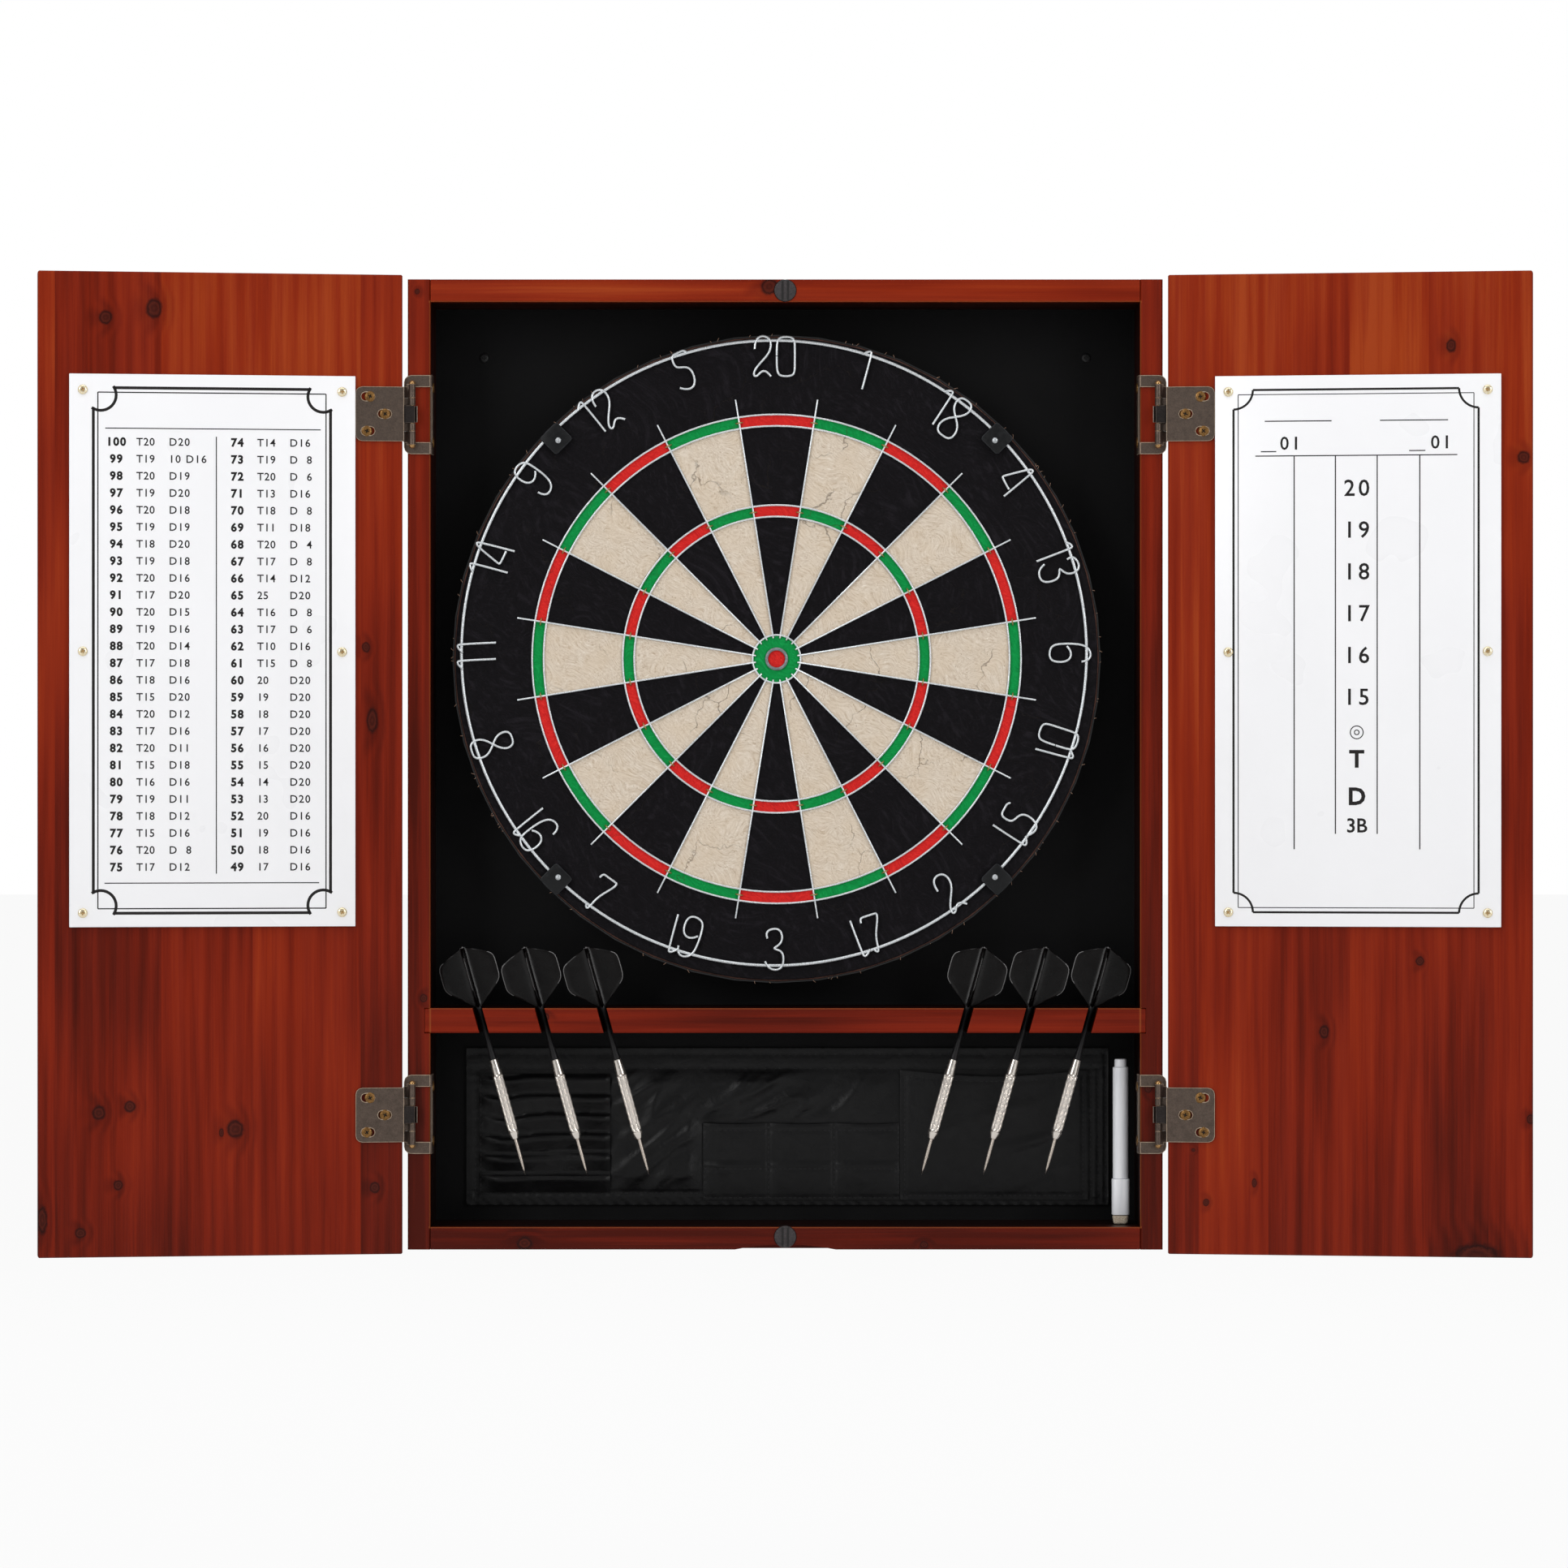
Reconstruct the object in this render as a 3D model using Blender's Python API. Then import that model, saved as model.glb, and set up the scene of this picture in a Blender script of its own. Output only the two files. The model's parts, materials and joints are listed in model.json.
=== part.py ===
"""Wall cabinet for a bristle dartboard: two doors on wrap hinges, a board bay and a lower bay.

Frame: origin at the middle of the wall face, +X right, +Z up, the front looks along -Y.
Sizes are in metres, written as a number of millimetres times MM.
The doors stand open at rest, turned about their hinge pins by DOOR_OPEN.
"""
import math

import bmesh
import bpy
from mathutils import Matrix, Vector

MM = 0.001
SEAT = 0.3 * MM                 # gap kept between pieces that rest on each other

# ---- dartboard
BOARD_RADIUS = 225.5 * MM       # over the rim band
BACKING = 7.0 * MM
FIBRE = 30.0 * MM
FIBRE_EASE = 1.2 * MM
RIM_BAND = 1.0 * MM
BOARD_SIDE = -6.0 * MM          # the board hangs a little left of the middle
HANG_DEPTH = 4.9 * MM           # the hanging screw's hole in the backing
TREBLE_RADIUS = 107.0 * MM
BED_WIDTH = 8.0 * MM
BULL_RADIUS = 15.9 * MM
BULLSEYE_RADIUS = 6.35 * MM
WIRE = 1.5 * MM
RADIAL_INNER = 13.6 * MM
RADIAL_TAIL = 12.6 * MM         # radial wires past the double ring
RING_INSET = 11.5 * MM          # number ring to the rim
RING_WIRE = 1.1 * MM            # its wire's radius
NUMERAL_HEIGHT = 28.5 * MM
NUMERAL_WIDTH = 12.5 * MM
NUMERAL_GAP = 4.6 * MM
NUMERAL_WIRE = 1.0 * MM         # radius
NUMERAL_PROUD = 0.4 * MM        # the numerals' wire lies this far in front of the ring's
NUMERAL_ROOM = 2.9 * MM         # numerals to the radial wires' ends
CLIP_SIZE = 16.6 * MM
CLIP_THICK = 4.0 * MM
CLIP_CORNER = 2.0 * MM
CLIP_OFFSET = 2.6 * MM          # the clips' middle lies outside the ring

RING_RADIUS = BOARD_RADIUS - RING_INSET
CLIP_RADIUS = RING_RADIUS + CLIP_OFFSET
RADIAL_OUTER = RING_RADIUS - NUMERAL_HEIGHT - NUMERAL_ROOM
DOUBLE_RADIUS = RADIAL_OUTER - RADIAL_TAIL

# ---- darts and their slots
POINT_LENGTH = 26.5 * MM
POINT_RADIUS = 1.2 * MM
BARREL_LENGTH = 57.0 * MM
BARREL_RADIUS = 3.8 * MM
BARREL_NOSE = 9.0 * MM
BARREL_TAIL = 8.0 * MM
SHAFT_LENGTH = 39.0 * MM
SHAFT_RADIUS = 2.6 * MM
FLIGHT_LENGTH = 43.0 * MM
FLIGHT_HALF = 20.0 * MM
FLIGHT_THICK = 0.8 * MM
FLIGHT_SEAT = 2.0 * MM          # the flights start this far down the shaft's end
FLIGHT_HANG = 0.8 * MM          # the flights start this far below the divider's top
DART_LEAN = math.radians(15.5)
FLIGHT_SHOULDER = 0.78          # widest part of a flight, as a share of its length
DART_SETBACK = 2.5 * MM         # flights behind the body's front
DART_SIDE = 4.3 * MM            # outer flight to the side's inner face
DART_BETWEEN = 3.0 * MM         # between neighbouring flights
DART_SLOT = 3.3 * MM            # half width
DART_SLOT_BACK = 2.0 * MM       # the slot's end lies this far behind the dart
DART_COUNT = 3                  # on each side
FLIGHT_TO_RIM = 7.54 * MM       # inner flight's shoulder to the dartboard's rim

DART_DEPTH = FLIGHT_HALF + DART_SETBACK
DART_PITCH = 2 * FLIGHT_HALF + DART_BETWEEN
DART_FIRST = (
    DART_SIDE + FLIGHT_HALF * math.cos(DART_LEAN)
    + FLIGHT_LENGTH * FLIGHT_SHOULDER * math.sin(DART_LEAN)
)

# ---- carcass
PANEL = 15.5 * MM               # sides, top and bottom
SHELF = 17.0 * MM               # divider
DEPTH = 76.0 * MM
BOARD_ROOM = 20.0 * MM          # room between the board and each side
BOARD_HEADROOM = 21.0 * MM      # room above the board
BOARD_FOOTROOM = 16.0 * MM      # least room below it
LOWER_BAY = 134.3 * MM
BACK_SHEET = 5.0 * MM
REBATE = 8.0 * MM
DADO = 4.0 * MM
EASE = 0.8 * MM
MAGNET_EASE = 0.4 * MM
MAGNET_LIP = 0.2 * MM           # edge of the panel beyond the magnet
MAGNET_THICK = 5.0 * MM
MAGNET_PROUD = 1.2 * MM         # in front of the body
MAGNET_RISE = 1.1 * MM          # the lower magnet sits above the middle of its edge
SCOOP_WIDTH = 70.0 * MM
SCOOP_HEIGHT = 3.6 * MM
SCOOP_DEPTH = 14.0 * MM
WALL_HOLE = 2.5 * MM
WALL_HOLE_INSET = 34.0 * MM

MAGNET_RADIUS = PANEL / 2 - MAGNET_LIP
INNER_HALF = BOARD_RADIUS + BOARD_ROOM
BODY_HALF = INNER_HALF + PANEL


def board_height():
    """Board's middle above the divider, where its rim clears the inner flights' shoulders."""
    along = FLIGHT_LENGTH * FLIGHT_SHOULDER - FLIGHT_HANG
    inner_dart = INNER_HALF - DART_FIRST - (DART_COUNT - 1) * DART_PITCH
    shoulder_x = inner_dart - FLIGHT_HALF * math.cos(DART_LEAN) + along * math.sin(DART_LEAN)
    shoulder_z = FLIGHT_HALF * math.sin(DART_LEAN) + along * math.cos(DART_LEAN)
    reach = BOARD_RADIUS + FLIGHT_TO_RIM
    above_flights = shoulder_z + math.sqrt(reach ** 2 - (shoulder_x - abs(BOARD_SIDE)) ** 2)
    return max(above_flights, BOARD_RADIUS + BOARD_FOOTROOM)


BOARD_HEIGHT = board_height()
UPPER_BAY = BOARD_HEIGHT + BOARD_RADIUS + BOARD_HEADROOM
BODY_HEIGHT = 2 * PANEL + UPPER_BAY + SHELF + LOWER_BAY
FLOOR = -BODY_HEIGHT / 2 + PANEL
SHELF_UNDER = FLOOR + LOWER_BAY
SHELF_TOP = SHELF_UNDER + SHELF
CEILING = BODY_HEIGHT / 2 - PANEL
FRONT = -DEPTH

# ---- doors and hinges
DOOR_THICK = 16.0 * MM
DOOR_OVERLAP = 2.5 * MM         # above and below the body
LEAF_CLEAR = 0.6 * MM           # door leaf to the body's front when closed
DOOR_GAP = 2.0 * MM             # between the closed doors
DOOR_OPEN = math.radians(171.5)
PIN_INSET = 3.3 * MM            # pin axis inside the body's outer face
PIN_RADIUS = 1.2 * MM
PIN_TO_DOOR = 6.8 * MM
HINGE_INSET = 93.65 * MM        # hinge middle to the body's top or bottom
LEAF = 1.2 * MM
CURL_CLEAR = 0.2 * MM           # rolled knuckles and pin heads to the frame leaf's plate
KNUCKLE_WALL = 0.8 * MM
BEND_RADIUS = 0.4 * MM
KNUCKLE_SPLIT = 11.4 * MM       # between the frame and door knuckles, from the middle
KNUCKLE_LAP = 1.7 * MM          # frame knuckles over the arms of the frame leaf
PIN_DOME = 2.4 * MM             # height of the pin's heads
SPRING_HALF = 6.0 * MM
SPRING_TAB = 1.9 * MM
SPRING_SHEET = 0.7 * MM
FRAME_ARM = 8.2 * MM
FRAME_LEAF_PROUD = 2.5 * MM     # past the body's outer face
FRAME_FLANGE = 15.0 * MM
DOOR_LEAF_HALF = 18.8 * MM
DOOR_LEAF_WIDTH = 33.3 * MM
DOOR_LEAF_SETBACK = 0.8 * MM    # over the door's edge
LEAF_CORNER = 4.5 * MM
FRAME_CORNER = 5.0 * MM
FLANGE_HOLE = 2.0 * MM
LEAF_SLOT_LENGTH = 9.8 * MM
LEAF_SLOT_RADIUS = 3.2 * MM
LEAF_SLOT_EDGE = 6.9 * MM       # outer slots to the leaf's top or bottom
LEAF_SLOT_FAR = 8.5 * MM        # outer slots to the leaf's far edge
LEAF_SLOT_MIDDLE = 20.0 * MM    # middle slot to the far edge

CURL_RADIUS = PIN_RADIUS + SEAT + KNUCKLE_WALL / 2      # middle of the rolled sheet
PIN_HEAD = CURL_RADIUS + KNUCKLE_WALL / 2
PIN_FORWARD = SEAT + LEAF + CURL_CLEAR + PIN_HEAD       # pin axis in front of the body
PIN_X = BODY_HALF - PIN_INSET
PIN_Y = FRONT - PIN_FORWARD
HINGE_HEIGHT = BODY_HEIGHT / 2 - HINGE_INSET
FRAME_WINDOW_HALF = DOOR_LEAF_HALF + SEAT
FRAME_LEAF_HALF = FRAME_WINDOW_HALF + FRAME_ARM
KNUCKLE_END = FRAME_WINDOW_HALF + KNUCKLE_LAP
DOOR_WIDTH = PIN_X - PIN_TO_DOOR - DOOR_GAP / 2
DOOR_STANDOFF = SEAT + LEAF + LEAF_CLEAR                # closed door's inner face to the body
DOOR_INNER = PIN_FORWARD - DOOR_STANDOFF                # the same face, from the pin
DOOR_LEAF_NEAR = PIN_TO_DOOR - DOOR_LEAF_SETBACK
DOOR_LEAF_FAR = DOOR_LEAF_NEAR + DOOR_LEAF_WIDTH

# ---- charts on the doors
CHART_HEIGHT = 379.0 * MM
CHART_THICK = 3.0 * MM
CHART_EDGE = 21.2 * MM          # to the door's free edge
CHART_TOP = 70.5 * MM           # to the door's top

# ---- wall bracket and hanging screw
BRACKET_RISE = 8.5 * MM
BRACKET_SHEET = 1.5 * MM
BRACKET_HEIGHT = 34.0 * MM
BRACKET_HALF = 24.0 * MM
BRACKET_FOOT = 16.0 * MM
BRACKET_SLOPE = 4.0 * MM
SCREW_SHANK = 2.0 * MM
SCREW_HEAD = 4.5 * MM
SCREW_HEAD_THICK = 2.5 * MM
BOARD_CLEAR = 0.6 * MM          # bracket to the board's back

# ---- wallet
WALLET_SHEET = 3.0 * MM
WALLET_LEFT = 21.5 * MM         # to the left side's inner face
WALLET_RIGHT = 18.5 * MM        # to the right side's inner face
WALLET_LIFT = 10.8 * MM         # above the floor
WALLET_HEADROOM = 13.5 * MM     # below the divider
WALLET_CORNER = 4.0 * MM
POCKET_CORNER = 2.0 * MM
HEM = 9.0 * MM
SIDE_HEM = 14.4 * MM            # large pocket to the right edge
POCKET_LIFT = 3.6 * MM          # pockets above the lower edge
SLEEVE_COUNT = 6
SLEEVE_WIDTH = 92.0 * MM
SLEEVE_RISE = 5.0 * MM
PLAIN_WIDTH = 65.3 * MM         # bare cloth between the sleeves and the small pockets
SMALL_HEIGHT = 54.0 * MM
SMALL_RISE = 2.4 * MM
LARGE_WIDTH = 132.0 * MM
LARGE_HEIGHT = 91.0 * MM
LARGE_ROOM = 6.0 * MM
CLOTH = 1.4 * MM

WALLET_HEIGHT = LOWER_BAY - WALLET_LIFT - WALLET_HEADROOM

# ---- marker
MARKER_RADIUS = 5.4 * MM
MARKER_PLUG = 5.6 * MM
PLUG_STEP = 1.2 * MM            # plug inside the barrel's radius
CAP_LENGTH = 25.0 * MM
CAP_STEP = 0.7 * MM             # cap outside the barrel's radius
CAP_NECK = 0.5 * MM             # cap's bore inside the barrel's radius
CAP_CORNER = 3.4 * MM
CAP_END = 3.0 * MM              # solid end of the cap
MARKER_EASE = 0.8 * MM
NECK_LENGTH = 15.0 * MM         # neck and nib inside the cap
NIB_RADIUS = 1.6 * MM
ERASER_LENGTH = 6.0 * MM
MARKER_HEADROOM = 19.2 * MM     # below the divider
MARKER_SIDE = 5.9 * MM          # cap to the right side's inner face
MARKER_DEPTH = 30.0 * MM        # marker axis behind the front

CAP_HALF = MARKER_RADIUS + CAP_STEP
CAP_BORE = MARKER_RADIUS - CAP_NECK
MARKER_PLUG_RADIUS = MARKER_RADIUS - PLUG_STEP
MARKER_BODY = LOWER_BAY - MARKER_HEADROOM - MARKER_PLUG - CAP_LENGTH - ERASER_LENGTH - 3 * SEAT

# ---- facets of the round pieces
DISC_STEPS = 48                 # dartboard discs and number ring
ROUND_STEPS = 24                # magnets and their seats
MARKER_STEPS = 16
SHAFT_STEPS = 10                # dart barrels and hinge pins
HOLE_STEPS = 8                  # screw holes and dart shafts

PLANES = {"x": (1, 2, 0), "y": (0, 2, 1), "z": (0, 1, 2)}


def clear_scene():
    for obj in list(bpy.data.objects):
        bpy.data.objects.remove(obj, do_unlink=True)


def make_material(name, colour, roughness, metallic=0.0):
    material = bpy.data.materials.new(name)
    material.use_nodes = True
    shader = material.node_tree.nodes["Principled BSDF"]
    shader.inputs["Base Color"].default_value = (*colour, 1.0)
    shader.inputs["Roughness"].default_value = roughness
    shader.inputs["Metallic"].default_value = metallic
    return material


def make_empty(name, location, angle=0.0, axis="Z"):
    empty = bpy.data.objects.new(name, None)
    bpy.context.collection.objects.link(empty)
    empty.location = location
    empty.rotation_euler = Matrix.Rotation(angle, 3, axis).to_euler()
    empty.empty_display_size = 0.02
    return empty


def make_object(name, bm, material, parent=None, location=(0, 0, 0), smooth=False):
    """Turn a bmesh into a named object; round pieces are shaded smooth."""
    mesh = bpy.data.meshes.new(name)
    bm.to_mesh(mesh)
    bm.free()
    mesh.materials.append(material)
    if smooth:
        mesh.shade_smooth()
        mesh.set_sharp_from_angle(angle=math.radians(35))
    obj = bpy.data.objects.new(name, mesh)
    bpy.context.collection.objects.link(obj)
    obj.location = location
    obj.parent = parent
    return obj


def copy_object(source, name, parent, location=(0, 0, 0)):
    """A second object on the same mesh."""
    obj = bpy.data.objects.new(name, source.data)
    bpy.context.collection.objects.link(obj)
    obj.location = location
    obj.parent = parent
    return obj


def combine(target, tools, operation):
    """Cut or join closed tool meshes with the target, and keep the result as its mesh."""
    tool_collection = bpy.data.collections.new("tools")
    bpy.context.scene.collection.children.link(tool_collection)
    helpers = []
    for number, bm in enumerate(tools):
        mesh = bpy.data.meshes.new(f"tool_{number}")
        bm.to_mesh(mesh)
        bm.free()
        helper = bpy.data.objects.new(f"tool_{number}", mesh)
        helper.hide_render = True
        helper.display_type = "WIRE"
        tool_collection.objects.link(helper)
        helpers.append(helper)
    place = target.parent
    target.parent = None
    modifier = target.modifiers.new(operation.title(), "BOOLEAN")
    modifier.operation = operation
    modifier.solver = "EXACT"
    modifier.operand_type = "COLLECTION"
    modifier.collection = tool_collection
    modifier.use_self = operation == "UNION"
    bpy.context.view_layer.update()
    graph = bpy.context.evaluated_depsgraph_get()
    result = bpy.data.meshes.new_from_object(target.evaluated_get(graph))
    target.modifiers.clear()
    target.data = result
    target.parent = place
    for helper in helpers:
        bpy.data.objects.remove(helper, do_unlink=True)
    bpy.data.collections.remove(tool_collection)


def arc(centre, radius, start, end, steps):
    """Points on an arc; the angles are in degrees and radius may be one number or a pair."""
    across, up = radius if isinstance(radius, tuple) else (radius, radius)
    points = []
    for step in range(steps + 1):
        angle = math.radians(start + (end - start) * step / steps)
        points.append((centre[0] + across * math.cos(angle), centre[1] + up * math.sin(angle)))
    return points


def rectangle(low, high):
    return [(low[0], low[1]), (high[0], low[1]), (high[0], high[1]), (low[0], high[1])]


def rounded(low, high, radius, steps=3):
    """Rectangle outline with round corners, anticlockwise from the lower right."""
    corners = [
        ((high[0] - radius, low[1] + radius), -90),
        ((high[0] - radius, high[1] - radius), 0),
        ((low[0] + radius, high[1] - radius), 90),
        ((low[0] + radius, low[1] + radius), 180),
    ]
    outline = []
    for centre, start in corners:
        outline += arc(centre, radius, start, start + 90, steps)
    return outline


def prism(outline, along, low, high):
    """Extrude a flat outline along one axis; the outline's plane is the other two, in order."""
    first, second, third = PLANES[along]
    bm = bmesh.new()
    corners = []
    for a, b in outline:
        corner = [0.0, 0.0, 0.0]
        corner[first] = a
        corner[second] = b
        corner[third] = low
        corners.append(bm.verts.new(corner))
    face = bm.faces.new(corners)
    grown = bmesh.ops.extrude_face_region(bm, geom=[face])
    shift = Vector((0, 0, 0))
    shift[third] = high - low
    moved = [item for item in grown["geom"] if isinstance(item, bmesh.types.BMVert)]
    bmesh.ops.translate(bm, verts=moved, vec=shift)
    bmesh.ops.recalc_face_normals(bm, faces=bm.faces)
    return bm


def block(low, high):
    return prism(rectangle(low[:2], high[:2]), "z", low[2], high[2])


def lathe(profile, steps, closed=False):
    """Spin a profile of (radius, height) pairs round Z."""
    bm = bmesh.new()
    points = [bm.verts.new((radius, 0, height)) for radius, height in profile]
    pairs = list(zip(points, points[1:]))
    if closed:
        pairs.append((points[-1], points[0]))
    edges = [bm.edges.new(pair) for pair in pairs]
    bmesh.ops.spin(
        bm, geom=points + edges, cent=(0, 0, 0), axis=(0, 0, 1),
        angle=2 * math.pi, steps=steps, use_merge=True,
    )
    bmesh.ops.remove_doubles(bm, verts=bm.verts, dist=1e-6)
    bmesh.ops.recalc_face_normals(bm, faces=bm.faces)
    return bm


def drill(radius, low, high):
    return lathe([(0, low), (radius, low), (radius, high), (0, high)], HOLE_STEPS)


def turn(bm, angle, axis):
    bmesh.ops.rotate(bm, verts=bm.verts, cent=(0, 0, 0), matrix=Matrix.Rotation(angle, 3, axis))
    return bm


def move(bm, offset):
    bmesh.ops.translate(bm, verts=bm.verts, vec=offset)
    return bm


def facing_front(bm):
    """Lay a turned piece with its +Z towards the front."""
    return turn(bm, math.radians(90), "X")


def sheet(path, thickness):
    """Outline of bent sheet metal: the path is its middle line."""
    points = [Vector(point) for point in path]
    left = []
    right = []
    for index, point in enumerate(points):
        before = points[max(index - 1, 0)]
        after = points[min(index + 1, len(points) - 1)]
        entering = (point - before).normalized() if index else (after - point).normalized()
        leaving = (after - point).normalized() if index < len(points) - 1 else entering
        normal = (entering.orthogonal() + leaving.orthogonal()).normalized()
        reach = thickness / 2 / max(normal.dot(entering.orthogonal()), 0.5)
        left.append(point + normal * reach)
        right.append(point - normal * reach)
    return [tuple(point) for point in left + right[::-1]]


def mirrored(outline, side):
    """Outline drawn for the right side (+1), or its mirror image for the left (-1)."""
    return [(side * a, b) for a, b in outline]


# ---------------------------------------------------------------- carcass


def build_side(name, side, material):
    """Full-height side with a rebate for the back and a dado for the divider."""
    inner = INNER_HALF
    outer = BODY_HALF
    outline = [
        (inner + EASE, FRONT), (outer - EASE, FRONT), (outer, FRONT + EASE), (outer, 0.0),
        (inner + REBATE, 0.0), (inner + REBATE, -BACK_SHEET - SEAT),
        (inner, -BACK_SHEET - SEAT), (inner, FRONT + EASE),
    ]
    bm = prism(mirrored(outline, side), "z", -BODY_HEIGHT / 2, BODY_HEIGHT / 2)
    panel = make_object(name, bm, material)
    edges = sorted((side * (inner - PANEL), side * (inner + DADO)))
    dado = block(
        (edges[0], FRONT - PANEL, SHELF_UNDER - SEAT), (edges[1], DEPTH, SHELF_TOP + SEAT)
    )
    combine(panel, [dado], "DIFFERENCE")
    return panel


def build_cap_panel(name, side, material):
    """Top (+1) or bottom (-1) panel between the sides, with a seat for the door magnet."""
    inner = CEILING if side > 0 else -FLOOR
    outer = BODY_HEIGHT / 2
    outline = [
        (FRONT, inner + EASE), (FRONT, outer - EASE), (FRONT + EASE, outer), (0.0, outer),
        (0.0, inner + REBATE), (-BACK_SHEET - SEAT, inner + REBATE),
        (-BACK_SHEET - SEAT, inner), (FRONT + EASE, inner),
    ]
    outline = [(y, side * z) for y, z in outline]
    panel = make_object(name, prism(outline, "x", -INNER_HALF + SEAT, INNER_HALF - SEAT), material)
    seat_depth = MAGNET_THICK - MAGNET_PROUD + SEAT
    seat = facing_front(
        lathe([(0, -seat_depth), (MAGNET_RADIUS + SEAT, -seat_depth),
               (MAGNET_RADIUS + SEAT, PANEL), (0, PANEL)], ROUND_STEPS)
    )
    cuts = [move(seat, (0, FRONT, magnet_height(side)))]
    if side < 0:
        radius = (SCOOP_WIDTH ** 2 / 4 + SCOOP_HEIGHT ** 2) / (2 * SCOOP_HEIGHT)
        half = math.degrees(math.asin(SCOOP_WIDTH / 2 / radius))
        low = -BODY_HEIGHT / 2 + SCOOP_HEIGHT - radius
        curve = arc((0, low), radius, 90 - half, 90 + half, 12)
        scoop = [(SCOOP_WIDTH / 2, -BODY_HEIGHT), *curve, (-SCOOP_WIDTH / 2, -BODY_HEIGHT)]
        cuts.append(prism(scoop, "y", FRONT - PANEL, FRONT + SCOOP_DEPTH))
    combine(panel, cuts, "DIFFERENCE")
    return panel


def magnet_height(side):
    middle = side * (BODY_HEIGHT - PANEL) / 2
    return middle if side > 0 else middle + MAGNET_RISE


def build_magnet(name, side, material):
    profile = [
        (0, -MAGNET_THICK), (MAGNET_RADIUS, -MAGNET_THICK), (MAGNET_RADIUS, -MAGNET_EASE),
        (MAGNET_RADIUS - MAGNET_EASE, 0), (0, 0),
    ]
    bm = facing_front(lathe(profile, ROUND_STEPS))
    place = (0, FRONT - MAGNET_PROUD, magnet_height(side))
    return make_object(name, bm, material, location=place, smooth=True)


def build_divider(material):
    """Fixed shelf in the dados; slanted slots in its front edge hold the darts."""
    half = INNER_HALF + DADO - SEAT
    outline = [
        (FRONT, SHELF_UNDER + EASE), (FRONT, SHELF_TOP - EASE), (FRONT + EASE, SHELF_TOP),
        (-BACK_SHEET - SEAT, SHELF_TOP), (-BACK_SHEET - SEAT, SHELF_UNDER),
        (FRONT + EASE, SHELF_UNDER),
    ]
    divider = make_object("divider_shelf", prism(outline, "x", -half, half), material)
    slots = []
    for place in dart_places():
        mouth = -DART_DEPTH - PANEL
        shape = [(DART_SLOT, mouth), *arc((0, DART_SLOT_BACK), DART_SLOT, 0, 180, 6), (-DART_SLOT, mouth)]
        slot = prism(shape, "z", -3 * SHELF, 2 * SHELF)
        turn(slot, place["lean"], "Y")
        slots.append(move(slot, place["location"]))
    combine(divider, slots, "DIFFERENCE")
    return divider


def build_back(material):
    """Thin back sheet in the rebates, with four plain holes for wall screws."""
    reach = REBATE - SEAT
    sheet_outline = rectangle((-INNER_HALF - reach, FLOOR - reach), (INNER_HALF + reach, CEILING + reach))
    back = make_object("back_panel", prism(sheet_outline, "y", -BACK_SHEET, 0.0), material)
    holes = []
    for across in (-1, 1):
        for height in (CEILING - WALL_HOLE_INSET, SHELF_TOP + WALL_HOLE_INSET):
            hole = facing_front(drill(WALL_HOLE, -PANEL, PANEL))
            holes.append(move(hole, (across * (INNER_HALF - WALL_HOLE_INSET), 0, height)))
    combine(back, holes, "DIFFERENCE")
    return back


# ---------------------------------------------------------------- doors and hinges


def build_door(name, side, pin, material):
    """Flat door, modelled closed from its hinge pin: it reaches inward and stands in front."""
    low = (PIN_TO_DOOR, DOOR_INNER - DOOR_THICK)
    high = (PIN_TO_DOOR + DOOR_WIDTH, DOOR_INNER)
    half = BODY_HEIGHT / 2 + DOOR_OVERLAP
    bm = prism(mirrored(rectangle(low, high), -side), "z", -half, half)
    bmesh.ops.bevel(
        bm, geom=bm.edges[:], offset=EASE, offset_type="OFFSET", segments=1,
        profile=0.5, affect="EDGES", clamp_overlap=True,
    )
    return make_object(name, bm, material, parent=pin)


def build_chart(name, side, pin, material):
    """Thin white board screwed to the door's inner face."""
    free_edge = PIN_TO_DOOR + DOOR_WIDTH - CHART_EDGE
    top = BODY_HEIGHT / 2 + DOOR_OVERLAP - CHART_TOP
    face = DOOR_INNER + SEAT
    outline = mirrored(rectangle((DOOR_LEAF_FAR + SEAT, face), (free_edge, face + CHART_THICK)), -side)
    return make_object(name, prism(outline, "z", top - CHART_HEIGHT, top), material, parent=pin)


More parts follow.
